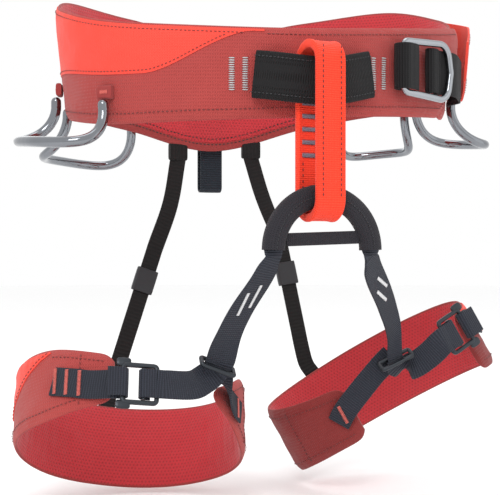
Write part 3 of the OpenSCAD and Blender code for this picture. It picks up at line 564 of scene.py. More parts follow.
# moulded acetal: dull black with a faint grain
blackPlastic = metalMaterial("acetal, moulded black", "242428", "151517", 0.42, metallic=0.0, grain=700.0, relief=0.2)
silverThread = threadMaterial("polyester thread, silver", "D8D9DA", "8F9092")
whiteThread = threadMaterial("polyester thread, white", "F2F2F2", "BDBDC0")
greyThread = threadMaterial("polyester thread, violet grey", "8A8494", "57525F")
redThread = threadMaterial("polyester thread, coral", "F0786C", "B84B42")
darkThread = threadMaterial("polyester thread, dark", "1B1A1C", "0A0A0B")
maroonThread = threadMaterial("polyester thread, maroon", "7A1D1C", "4E100F")
slateThread = threadMaterial("polyester thread, slate", "23252C", "101115")
print("materials made")

# ---- stitches: one tree lays short threads along any lines


def stitchTree():
    t = bpy.data.node_groups.new("stitchRun", "GeometryNodeTree")
    face = t.interface
    face.new_socket("Geometry", in_out="INPUT", socket_type="NodeSocketGeometry")
    for name, value in (("Spacing", 0.003), ("Length", 0.0022), ("Thickness", 0.0007), ("Turn", 0.0)):
        face.new_socket(name, in_out="INPUT", socket_type="NodeSocketFloat").default_value = value
    face.new_socket("Thread", in_out="INPUT", socket_type="NodeSocketMaterial")
    face.new_socket("Geometry", in_out="OUTPUT", socket_type="NodeSocketGeometry")
    given, out = node(t, "NodeGroupInput").outputs, node(t, "NodeGroupOutput")
    curve = node(t, "GeometryNodeMeshToCurve", {0: given["Geometry"]}).outputs[0]
    spaced = node(t, "GeometryNodeResampleCurve", {"Curve": curve, "Length": given["Spacing"]},
            mode="LENGTH").outputs[0]
    ball = node(t, "GeometryNodeMeshUVSphere", {"Segments": 6, "Rings": 4, "Radius": 0.5}).outputs[0]
    facing = node(t, "GeometryNodeInputNamedAttribute", {"Name": "facing"}, data_type="FLOAT_VECTOR").outputs[0]
    tangent = node(t, "GeometryNodeInputTangent").outputs[0]
    along = node(t, "FunctionNodeAlignRotationToVector", {"Vector": tangent}, axis="X").outputs[0]
    flat = node(t, "FunctionNodeAlignRotationToVector", {"Rotation": along, "Vector": facing}, axis="Z",
            pivot_axis="X").outputs[0]
    spin = node(t, "ShaderNodeCombineXYZ", {2: given["Turn"]}).outputs[0]
    turned = node(t, "FunctionNodeRotateRotation", {"Rotation": flat, "Rotate By": spin},
            rotation_space="LOCAL").outputs[0]
    size = node(t, "ShaderNodeCombineXYZ",
            {0: given["Length"], 1: given["Thickness"], 2: given["Thickness"]}).outputs[0]
    laid = node(t, "GeometryNodeInstanceOnPoints",
            {"Points": spaced, "Instance": ball, "Rotation": turned, "Scale": size}).outputs[0]
    real = node(t, "GeometryNodeRealizeInstances", {0: laid}).outputs[0]
    done = node(t, "GeometryNodeSetMaterial", {"Geometry": real, "Material": given["Thread"]}).outputs[0]
    t.links.new(done, out.inputs[0])
    return t


stitchRun = stitchTree()
socketOf = {item.name: item.identifier for item in stitchRun.interface.items_tree if item.in_out == "INPUT"}


# lines is a list of (points, normals) in mm
def stitches(name, lines, thread, spacing=3.2, length=2.3, thick=0.75, turn=0.0):
    points, edges, facing = [], [], []
    for p, n in lines:
        base = len(points)
        points += [tuple(q * mm) for q in p]
        facing += [tuple(unit(q)) for q in n]
        edges += [(base + i, base + i + 1) for i in range(len(p) - 1)]
    mesh = bpy.data.meshes.new(name + "Lines")
    mesh.from_pydata(points, edges, [])
    mesh.attributes.new("facing", "FLOAT_VECTOR", "POINT").data.foreach_set("vector",
            np.array(facing, np.float32).ravel())
    obj = bpy.data.objects.new(name, mesh)
    bpy.context.scene.collection.objects.link(obj)
    mod = obj.modifiers.new("stitches", "NODES")
    mod.node_group = stitchRun
    for key, value in (("Spacing", spacing * mm), ("Length", length * mm), ("Thickness", thick * mm), ("Turn", turn),
            ("Thread", thread)):
        mod[socketOf[key]] = value
    bpy.context.view_layer.update()
    made = bpy.data.meshes.new_from_object(obj.evaluated_get(bpy.context.evaluated_depsgraph_get()))
    made.name = name
    obj.modifiers.clear()
    obj.data = made
    made.materials.clear()
    made.materials.append(thread)
    made.polygons.foreach_set("material_index", np.zeros(len(made.polygons), np.int32))
    made.shade_smooth()
    return obj


# ---- pads: a closed grid, swelled by cloth pressure between its seams

# swell caps how far cloth may move, sunk is how far each face starts inside the pad, edge how far
# its rim curves in; pucker and rumple are the heights of small and large folds, all in mm
padLook = {"swell": 1.7, "pressure": 80, "frames": 18, "sunk": 1.3, "edge": 2.6, "rim": 9.0, "seam": 7.0,
           "pucker": 0.5, "wave": 8.5, "rumple": 0.8, "fold": 37.0}
cloth = {"quality": 5, "mass": 0.05, "tension_stiffness": 15, "compression_stiffness": 15, "shear_stiffness": 8,
         "bending_stiffness": 0.5, "use_pressure": True, "uniform_pressure_force": padLook["pressure"]}


# heights of the rows across a pad, closer together near both edges
def rowHeights(low, high):
    tall = high - low
    f = min(1, tall / 46)
    near = np.array([0, 1.5, 3.6, 7, 11]) * f
    far = np.linspace(near[-1], tall - near[-1], 12)[1:-1]
    return low + np.r_[near, far, tall - near[::-1]]


def swell(obj, held, name):
    rest = np.empty(len(obj.data.vertices) * 3)
    obj.data.vertices.foreach_get("co", rest)
    group = obj.vertex_groups.new(name="held")
    group.add([int(i) for i in np.nonzero(held)[0]], 1.0, "REPLACE")
    mod = obj.modifiers.new("cloth", "CLOTH")
    for key, value in cloth.items():
        setattr(mod.settings, key, value)
    mod.settings.vertex_group_mass = "held"
    mod.settings.effector_weights.gravity = 0
    mod.collision_settings.use_collision = False
    mod.point_cache.frame_start, mod.point_cache.frame_end = 1, padLook["frames"] + 1
    for f in range(1, padLook["frames"] + 1):
        bpy.context.scene.frame_set(f)
    seen = obj.evaluated_get(bpy.context.evaluated_depsgraph_get()).to_mesh()
    moved = np.empty_like(rest)
    seen.vertices.foreach_get("co", moved)
    obj.modifiers.clear()
    obj.vertex_groups.clear()
    bpy.context.scene.frame_set(1)
    step = (moved - rest).reshape(-1, 3) / mm
    far = np.linalg.norm(step, axis=1)
    cap, free = padLook["swell"], far[~held]
    print(f"{name} swelled: free cloth moved {free.mean():.2f} mm on average, {free.max():.2f} at most, before the cap")
    step *= (cap * np.tanh(far / cap) / np.maximum(far, 1e-9))[:, None]
    return rest.reshape(-1, 3) / mm + step


# a fixed uneven ripple, -1 to 1, along two lengths in mm
def ripple(u, v, wave):
    return (np.sin(u * 2 * math.pi / wave + 1.3 * np.sin(v * 0.11)) + 0.6 * np.sin(u * 3.7 / wave + v * 0.21 + 1.0)
            + 0.5 * np.sin(u * 1.9 / wave - v * 0.13 + 2.0)) / 2.1


def makePad(name, ts, low, high, point, middle, normal, thick, materials, seam):
    rows = np.array([rowHeights(low(t), high(t)) for t in ts])
    n, r = rows.shape
    top, base = rows[:, -1:], rows[:, :1]
    gap = np.minimum(rows - base, top - rows)
    pull = padLook["edge"] * np.maximum(1 - gap / padLook["rim"], 0) ** 2
    sunk = padLook["sunk"]
    outer = np.array([[point(t, -sunk - pull[i][j], z) for j, z in enumerate(rows[i])] for i, t in enumerate(ts)])
    inner = np.array([[point(t, sunk - thick + pull[i][j] * 0.8, z) for j, z in enumerate(rows[i])]
            for i, t in enumerate(ts)])
    rings = np.concatenate([outer, inner[:, ::-1]], 1)
    along = lengthsOf(np.array([point(t, 0, middle) for t in ts]))
    around = np.concatenate([rows, rows[:, ::-1], rows[:, :1]], 1)
    k = 2 * r

    def slotOf(i, j):
        if j < r - 1:
            return 0
        return 1 if j in (r - 1, r, k - 1, k - 2) else 2

    obj = loft(name, rings, along, around, materials, pairedEnds=True, slotOf=slotOf, angle=70)
    held = np.zeros((n, k), bool)
    held[:2] = held[-2:] = True
    held[:, [0, 1, r - 2, r - 1, r, r + 1, k - 2, k - 1]] = True
    held[:, [3, r - 4]] = True
    for i, t in enumerate(ts):
        for j in range(r):
            if seam(t, rows[i][j]):
                held[i, j] = True
    co = swell(obj, held.ravel(), name).reshape(n, k, 3)
    ways = np.array([normal(t) for t in ts])[:, None, :]
    u = np.repeat(along[:, None], r, 1)
    near = np.exp(-((gap - padLook["seam"]) / 5.0) ** 2) + np.exp(-(gap / 3.0) ** 2) * 0.6
    puff = padLook["pucker"] * near * ripple(u, rows, padLook["wave"]) * np.minimum(gap / 2.0, 1)
    puff += padLook["rumple"] * np.minimum(gap / 14, 1) * (ripple(u, rows * 1.7, padLook["fold"]) - 0.5) * 0.8
    co[:, :r] += ways * puff[:, :, None]
    co[:, r:] -= ways * (puff * 0.8)[:, ::-1, None]
    obj.data.vertices.foreach_set("co", (co.reshape(-1) * mm).astype(np.float32))
    obj.data.update()
    smooth = obj.modifiers.new("smooth", "SUBSURF")
    smooth.levels = smooth.render_levels = 1
    return {"obj": obj, "ts": np.asarray(ts), "rows": rows, "outer": co[:, :r], "inner": co[:, r:][:, ::-1],
            "normal": normal}


# a point on a pad's outer or inner face, and a little off it
def onPad(pad, t, z, out=0.0, face="outer"):
    ts = pad["ts"]
    x = np.interp(t, ts, np.arange(len(ts)))
    i = min(int(x), len(ts) - 2)
    ends = [[np.interp(z, pad["rows"][m], pad[face][m][:, c]) for c in range(3)] for m in (i, i + 1)]
    way = pad["normal"](t)
    return mix(np.array(ends[0]), np.array(ends[1]), x - i) + way * (out if face == "outer" else -out)


def padLine(pad, marks, out=0.35, face="outer"):
    way = 1 if face == "outer" else -1
    return [onPad(pad, t, z, out, face) for t, z in marks], [pad["normal"](t) * way for t, z in marks]


# a cloth patch on a pad, between a low and a high edge
def patch(name, pad, ts, low, high, material, out, face="outer", count=14):
    rings, around = [], []
    for t in ts:
        zs = np.linspace(low(t), high(t), count)
        rings.append([onPad(pad, t, z, out[1], face) for z in zs]
                + [onPad(pad, t, z, out[0], face) for z in zs[::-1]])
        around.append(list(zs) + list(zs[::-1]) + [zs[0]])
    rings = np.array(rings)
    return loft(name, rings, lengthsOf(rings[:, 0]), np.array(around), [material], pairedEnds=True)


tackAngles = [360 + a for a in (-23.2, -19.8, 13.2, 16.4)]


def beltMiddle(t):
    return (beltTop(t) + beltBottom(t)) / 2


def panelLow(t, front, back):
    f = max(ease(front - 33, front, t), 1 - ease(back, back + 34, t))
    return mix(7 - 7 * ease(front - 83, front - 39, t), beltTop(t) - 2, f)


panels = {"left": (216, 345, 90), "right": (106, 148, 40)}  # back and front angles, stations


def waistSeam(t, z):
    tack = any(abs(t - a) < 1.2 for a in tackAngles) and abs(z - beltMiddle(t) + 1) < 14
    lines = any(b < t < f and abs(z - panelLow(t, f, b)) < 3 for b, f, count in panels.values())
    return tack or lines or t < 64


waist = makePad("waistPad", np.linspace(belt["start"], belt["end"], 236), padLow, padHigh, beltPoint, 20, beltNormal,
                belt["thickness"], [brickNylon, tapeNylon, redMesh], waistSeam)
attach(waist["obj"], "waistbelt")
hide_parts("waist_shell", "waist_foam", "waist_lining", "waist_webbing")

# a leg's pad, with its seams at these angles round the thigh
def legPad(leg, seams, shell):
    return makePad("legPad_" + leg["side"], np.linspace(*leg["run"], 120), lambda s: -legHalf(leg, s),
            lambda s: legHalf(leg, s),
                   lambda s, out, z: inHarness(leg, legPoint(leg, s, out, z)), 0,
                   lambda s: legTurned(leg, legNormal(leg, s)),
                   8, [shell, tapeNylon, redMesh], lambda s, z: any(abs(s - q) < 1.6 for q in seams))


# the right leg's pad gets the cloth darkened as painted shade
for leg, seams, shell in zip(legs, ((42, 60, 104, 300), (72, 104, 300)), (brickNylon, paintedShadeNylon)):
    leg["seams"] = seams
    leg["pad"] = legPad(leg, seams, shell)
    obj = leg["pad"]["obj"]
    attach(obj, leg["body"])
    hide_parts(*("leg_" + layer + "_" + leg["side"] for layer in ("shell", "foam", "lining")))
print("pads made")


# finish a piece: its body and the solids it stands for
def settle(obj, body, slot, *nodes):
    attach(obj, body)
    if nodes:
        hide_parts(*nodes)
    return obj


# ---- coral panels, binding and seams of the belt
for side, (back, front, count) in panels.items():
    def low(t, f=front, b=back):
        return min(panelLow(t, f, b), beltTop(t) - 3.2)
    edge = np.linspace(back, front, count)
    panel = patch("hipPanel_" + side, waist, edge, low, lambda t: beltTop(t) - 1.6, coralRipstop, out=(0.05, 0.6))
    settle(panel, "waistbelt", "accent_fabric", "hip_panel_" + side)
    marks = [(t, low(t) + 2.2) for t in edge[4:-4] if beltTop(t) - low(t) > 8]
    rim = [(t, beltTop(t) - 4.5) for t in edge[4:-4]]
    seam = stitches("hipPanelSeams_" + side, [padLine(waist, marks, 0.8), padLine(waist, rim, 0.8)], maroonThread,
            3.0, 2.1, 0.7)
    settle(seam, "waistbelt", "bartack_thread")

band = np.linspace(112, 248, 110)
binding = patch("waistBinding", waist, band, lambda t: beltBottom(t) + 0.6, lambda t: beltBottom(t) + 7, tapeNylon,
        out=(-0.1, 0.7),
                face="inner", count=6)
settle(binding, "waistbelt", "edge_binding", "waist_binding")
lines = [padLine(waist, [(t, beltBottom(t) + 5.6) for t in band[2:-2]], 0.95, "inner"),
         padLine(waist, [(t, beltBottom(t) + 10.5) for t in band[2:-2]], 0.3, "inner")]
settle(stitches("bindingSeams", lines, darkThread, 3.6, 2.6, 0.8), "waistbelt", "bartack_thread")
lines = [padLine(waist, [(t, padLow(t) + 7) for t in np.linspace(*run, 150)]) for run in ((250, 410), (72, 110))]
lines += [padLine(waist, [(t, padHigh(t) - 5) for t in np.linspace(*run, 90)]) for run in ((346, 412), (60, 105))]
lines += [padLine(waist, [(t, padLow(t) + 7) for t in np.linspace(112, 248, 120)])]
settle(stitches("beltSeams", lines, maroonThread, 3.2, 2.3, 0.75), "waistbelt", "bartack_thread")

# bar tacks: close threads across each bar
lines = [padLine(waist, [(t, beltMiddle(t) + z) for z in np.linspace(-12, 10, 24)], 0.5) for t in tackAngles]
obj = stitches("waistTacks", lines, silverThread, 1.5, 5.0, 1.05, math.pi / 2)
settle(obj, "waistbelt", "bartack_thread", "waist_bartacks")
print("belt sewn")

# ---- tie-in sleeve
tieIn = {"x": -10, "half": 42, "high": 33, "thick": 5.6, "sag": 6.5, "y": -129}


def tieInPoint(f):
    x = tieIn["x"] + tieIn["half"] * f
    bow = max(math.cos(math.radians(90 * f)), 0) ** 1.1
    t = 360 + math.degrees(math.asin(x / (belt["halfWidth"] + belt["lap"] / 2)))
    rest = beltPoint(t, 3.8, 0)
    return vec(mix(rest[0], x, bow), mix(rest[1], tieIn["y"], bow), -0.5 + 1.5 * f - tieIn["sag"] * bow)


path = np.array([tieInPoint(f) for f in np.linspace(-1, 1, 60)])
sleeve = tube("tieInSleeve", path, up, tieIn["high"] / 2, tieIn["thick"] / 2, blackWeave, power=5.0, sides=44,
        step=1.5)
settle(sleeve, "waistbelt", "black_webbing", "tie_in_sleeve", "tie_in_webbing")
p, w, n, wide = carried(path, up, 1.0, 1.5, False)
if n[len(n) // 2][1] > 0:
    n = -n
lines = [(list(p + w * z + n * 2.75), list(n)) for z in (12.6, -12.6)]
settle(stitches("sleeveSeams", lines, slateThread, 2.8, 2.0, 0.8), "waistbelt", "bartack_thread")
print("tie-in sleeve made")

# ---- waist buckle, its plane is x along the belt, y out of it
buckle = {"t": 389, "z": 8.891, "frameY": 7.7, "barY": 5.5, "sliderX": 6.5, "rail": 5.0, "high": 4.6, "web": 33,
        "thick": 1.6}


def fromBuckle(x, y, z=0.0):
    b = buckle["t"]
    return beltPoint(b, 0, buckle["z"]) + x * beltTangent(b) + y * beltNormal(b) + vec(0, 0, z)


def arc(count, a0=0, a1=180):
    return [math.radians(a) for a in np.linspace(a0, a1, count)]


outline = resample(hullOf([q for s in (-1, 1) for q in circleAt(-22, 14 * s, 7) + circleAt(15, 10 * s, 13)]
                          + circleAt(24, 0, 6)), 120, True)
frameObj = roundFrame("waistBuckleFrame", outline, buckle["rail"], buckle["high"],
                      lambda x, y, out: fromBuckle(x, buckle["frameY"] + out, y), polishedAluminium, power=2.3,
                      sides=18)
settle(frameObj, "waistbelt", "polished_metal", "waist_buckle_frame")
x0, r = -29, 4.8
path = [fromBuckle(x0 + x, 0.9) for x in (16, 10, 4)]
path += [fromBuckle(x0 + 2.5 - r * math.sin(a), mix(0.9, buckle["frameY"] + r, (1 - math.cos(a)) / 2))
        for a in arc(14)]
path += [fromBuckle(x0 + x, buckle["frameY"] + r - 0.012 * x * x) for x in (4, 10, 17)]
anchor = webbing("buckleAnchorLoop", path, up, buckle["web"], buckle["thick"], blackWebbing, crown=0.15)
settle(anchor, "waistbelt", "black_webbing", "buckle_anchor_loop")
beltUp = up + beltNormal(68) * belt["flare"] * math.sin(math.radians(68)) ** 2
rise = [beltPoint(t, out, buckle["z"]) for t, out in ((71, 1.1), (68, 1.2), (65, 2.4), (62, 6), (59.5, 9), (57, 10))]
path = list(through(rise + [fromBuckle(46, -0.4), fromBuckle(35, 4.1), fromBuckle(25, 4.5)], 4))
ways = [mix(beltUp, up, ease(8, 24, i)) for i in range(len(path))]
s, y = buckle["sliderX"], buckle["barY"]
path += [fromBuckle(18.5, 4.5), fromBuckle(14.4, 5.6), fromBuckle(11.5, 8.1)]
path += [fromBuckle(s - 3 * math.sin(a), y + 3 * math.cos(a)) for a in arc(12)] + [fromBuckle(14.5, 2.5),
        fromBuckle(20.5, 2.5)]
ways += [up] * (len(path) - len(ways))
strap = webbing("waistStrap", path, ways, buckle["web"], buckle["thick"], blackWebbing, crown=0.15, step=1.2)
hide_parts("waist_strap", "strap_wrap")
tuple(fromBuckle(24, 4.5) * mm)
tuple(fromBuckle(12.5, 7.5) * mm)
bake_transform(strap)

# fabric cover over the strap, standing off the hip pad
ts = np.linspace(62, 102, 60)
rings, around = [], []
for t in ts:
    edge, f = ease(74, 62, t), ease(102, 70, t)
    zs = np.linspace(beltBottom(t) + 14 + 16 * edge, beltTop(t) - 2 - 10 * edge, 14)
    bow = [0.5 * (1 - (j / 6.5 - 1) ** 4) for j in range(14)]
    rings.append([beltPoint(t, 1.9 + 11 * f + b, z) for z, b in zip(zs, bow)]
            + [beltPoint(t, 0.4 + 11 * f, z) for z in zs[::-1]])
    around.append(list(zs) + list(zs[::-1]) + [zs[0]])
rings = np.array(rings)
cover = loft("strapCover", rings, lengthsOf(rings[:, 0]), np.array(around), [coralRipstop], pairedEnds=True)
settle(cover, "waistbelt", "accent_fabric", "strap_cover")
lines = [([rings[i][j] + beltNormal(ts[i]) * 0.35 for i in range(2, 58)], [beltNormal(t) for t in ts[2:58]])
        for j in (1, 12)]
settle(stitches("coverSeams", lines, maroonThread, 3.0, 2.1, 0.7), "waistbelt", "bartack_thread")
print("waist buckle made")

# ---- haul loop on the back
haul = {"y": 113.7, "z": -36, "half": 3.5, "width": 20, "thick": 2}
path = [vec(0, haul["y"] - haul["half"], haul["z"] - z) for z in (0, 10, 20, 30)]
path += [vec(0, haul["y"] - haul["half"] * math.cos(a), haul["z"] - 33 - haul["half"] * math.sin(a)) for a in arc(14)]
path += [vec(0, haul["y"] + haul["half"], haul["z"] - z) for z in (30, 20, 10, 0)]
settle(webbing("haulLoop", path, vec(1, 0, 0), haul["width"], haul["thick"], haulWebbing, crown=0.15), "haul",
        "haul_webbing", "haul_loop")


# a sewn block of folded cloth
def foldedTab(name, middle, x, z, size, material, power=5.0):
    path = [middle + x * s * size[0] / 2 for s in (-1, -0.97, -0.85, -0.4, 0, 0.4, 0.85, 0.97, 1)]
    return tube(name, path, z, size[2] / 2, size[1] / 2, material, power=power, sides=28,
            scale=[0.9, 0.96, 1, 1, 1, 1, 1, 0.96, 0.9],
                step=size[0] / 24)


tab = foldedTab("haulLoopTab", vec(0, haul["y"] - 0.4, haul["z"] + 11.2), vec(1, 0, 0), up, (26, 9.8, 16), tapeNylon)
settle(tab, "waistbelt", "shell_fabric", "haul_loop_tab")
lines = [([vec(-10 + 20 * f, haul["y"] + 4.6, haul["z"] + z) for f in np.linspace(0, 1, 10)], [vec(0, 1, 0)] * 10)
        for z in (6.5, 16)]
settle(stitches("haulTacks", lines, maroonThread, 0.9, 3.4, 0.9, math.pi / 2), "waistbelt", "bartack_thread")

# ---- gear loops: angles of the two ends, height over the belt's edge, drop and reach
gears = {"front_left": (256, 299, 13, 29, 33), "rear_left": (207, 240, 5, 33, 36),
         "front_right": (77, 106, 12, 34, 41), "rear_right": (112, 138, 5, 35, 28)}


def gearPoint(g, a):
    c, s = math.cos(math.radians(a)), max(math.sin(math.radians(a)), 0)
    w, q = math.copysign(abs(c) ** (2 / 3), c), s ** (2 / 3)
    middle, half = (g[0] + g[1]) / 2, (g[1] - g[0]) / 2
    side = middle + w * half
    return beltPoint(middle + w * half * (1 + 0.1 * q), 5 + g[4] * (1 - math.cos(math.radians(90 * q))),
                     beltBottom(side) + g[2] - g[3] * math.sin(math.radians(90 * q)))


tabs, tabLines = [], []
for name, g in gears.items():
    p = np.array([gearPoint(g, a) for a in np.linspace(0, 180, 91)])
    first, last = unit(p[0] - p[1]), unit(p[-1] - p[-2])
    dome = [(3.8 * math.sin(a), math.cos(a)) for a in arc(7, 78, 12)]
    path = np.array([p[0] + first * d for d, k in dome] + list(p) + [p[-1] + last * d for d, k in dome[::-1]])
    scale = [k for d, k in dome] + [1] * len(p) + [k for d, k in dome[::-1]]
    n, s = carried(path, vec(0.01, 0.02, 1), scale, 0.8, False), 20
    w, v, size = n[1], n[2], n[3]
    rings = np.stack([n[0] + (w * math.cos(2 * math.pi * j / s) + v * math.sin(2 * math.pi * j / s)) * (3.8 * size)[:,
            None]
                      for j in range(s)], 1)
    obj = loft("gearLoop_" + name, rings, lengthsOf(n[0]), np.linspace(0, 24, s + 1), [polishedTube], angle=80)
    settle(obj, "gear_" + name, "polished_metal", "gear_loop_" + name)
    for t in g[:2]:
        top = beltBottom(t) + g[2] + 3.8 + 0.6 + 4.5
        tabs.append(foldedTab("gearTab", beltPoint(t, 1.6, top), beltTangent(t), up, (12, 4.6, 9.6), tapeNylon, 4.0))
        tabLines.append(([beltPoint(t + f * 1.3, 4.1, top) for f in np.linspace(-1, 1, 8)], [beltNormal(t)] * 8))


def joinPieces(name, pieces):
    verts, faces, uvs, base = [], [], [], 0
    for o in pieces:
        m = o.data
        verts += [tuple(v.co / mm) for v in m.vertices]
        faces += [tuple(base + i for i in f.vertices) for f in m.polygons]
        uvs += [tuple(d.uv) for d in m.uv_layers[0].data]
        base = len(verts)
    made = makeMesh(name, verts, faces, uvs, None, [pieces[0].data.materials[0]])
    for o in pieces:
        bpy.data.objects.remove(o)
    return shade(made)


settle(joinPieces("gearLoopTabs", tabs), "waistbelt", "shell_fabric", "gear_loop_tabs")
settle(stitches("gearTabTacks", tabLines, redThread, 0.9, 3.6, 0.8, math.pi / 2), "waistbelt", "bartack_thread")
print("gear and haul loops made")

# ---- belay loop
belay = {"x": -13, "y": -130.5, "turn": 6, "r": 13, "top": 4.5, "low": -88.5, "width": 22, "thick": 5}


def inBelay(x, y, z):
    c, s = math.cos(math.radians(belay["turn"])), math.sin(math.radians(belay["turn"]))
    return vec(belay["x"] + x * c - y * s, belay["y"] + x * s + y * c, z)


turnedX, turnedY = inBelay(1, 0, 0) - inBelay(0, 0, 0), inBelay(0, 1, 0) - inBelay(0, 0, 0)
half = belay["r"]
path = [inBelay(0, half * math.cos(a), belay["top"] + half * math.sin(a)) for a in arc(20)]
path += [inBelay(0, -half, z) for z in np.linspace(belay["top"], belay["low"], 30)[1:-1]]
path += [inBelay(0, half * math.cos(a), belay["low"] + half * math.sin(a)) for a in arc(20, 180, 360)]
path += [inBelay(0, half, z) for z in np.linspace(belay["low"], belay["top"], 30)[1:-1]]
loop = webbing("belayLoop", path, turnedX, belay["width"], belay["thick"], loopWebbing, closed=True, crown=-0.35,
        rim=0.35)
settle(loop, "belay", "belay_webbing", "belay_loop")
lines = []
for z in (-22, -31, -40, -49, -58):
    lines += [([inBelay(x, y, z) for x in np.linspace(-7.5, 7.5, 12)], [turnedY * way] * 12)
            for y, way in ((15.55, 1), (10.4, -1))]
obj = stitches("belayTacks", lines, greyThread, 0.8, 4.0, 1.0, math.pi / 2)
settle(obj, "belay", "bartack_thread", "belay_loop_bartacks")
lines = [([inBelay(x, -15.45, z) for z in np.linspace(14, -86, 30)], [-turnedY] * 30) for x in (-7.2, 7.2)]
lines += [([inBelay(x, y, z) for z in np.linspace(-64, -84, 9)], [turnedY * way] * 9) for x in (-7.2, 7.2)
        for y, way in ((10.5, -1), (15.5, 1))]
settle(stitches("belaySeams", lines, maroonThread, 3.4, 2.4, 0.9), "belay", "bartack_thread")

# ---- leg tie-in arch and the strap across it
arch = {"x": -11, "y": -130.5, "z": -123.4, "r": 37, "deep": 6, "high": 8}
turns = [math.radians(a) for a in np.linspace(180, 0, 60)]
path = [vec(arch["x"] + arch["r"] * math.cos(a), arch["y"], arch["z"] + arch["r"] * math.sin(a)) for a in turns]
outs = [vec(math.cos(a), 0, math.sin(a)) for a in turns]
obj = tube("legTieInSleeve", path, outs, arch["high"], arch["deep"], archWeave, power=2.4, sides=32)
settle(obj, "waistbelt", "black_webbing", "leg_tie_in_sleeve", "leg_tie_in_webbing")
lines = [([p + vec(0, y, 0) for p in path[1:-1]], [vec(0, way, 0)] * 58) for y, way in ((-6.15, -1), (6.15, 1))]
settle(stitches("archSeam", lines, slateThread, 2.6, 1.9, 0.8), "waistbelt", "bartack_thread")
path = [vec(arch["x"] + x, arch["y"], arch["z"] + 8 + 0.035 * x) for x in np.linspace(-27.6, 27.6, 12)]
obj = webbing("crossStrap", path, up, 9, 1.8, archWeave, crown=0.1)
settle(obj, "waistbelt", "black_webbing", "cross_strap")
print("belay loop and arch made")

# ---- webbing from the arch through each ring to the buckle of the leg loop
bridges = {"left": {"middles": [vec(-54, -124, -143.4), vec(-62, -107, -165.4), vec(-66, -91, -186.4)],
                    "across": (vec(0.9, 0.43, 0), vec(0.85, 0.4, -0.3)), "narrow": 1.0, "sign": -1, "slant": 8,
                    "after": [vec(-76.5, -73.5, -215), vec(-87, -78, -218)]},
           "right": {"middles": [vec(34, -121, -139.4), vec(56, -98, -159.4), vec(76, -76, -183.4)],
                     "across": (vec(0.8, 0.6, 0), vec(0.8, 0.55, 0.1)), "narrow": 0.6, "sign": 1, "slant": 14,
                     "after": [vec(95, -59, -214.5), vec(105, -61, -212), vec(115, -65.5, -204)]}}
legBuckle = {"thick": 3.2, "rail": 3.4, "web": 21, "webThick": 1.6}


def fromLegBuckle(leg, x, y, z=0.0):
    s, high = leg["buckle"]
    return inHarness(leg, legPoint(leg, s, 7, high) - x * legTangent(leg, s) + y * legNormal(leg, s) + vec(0, 0, z))


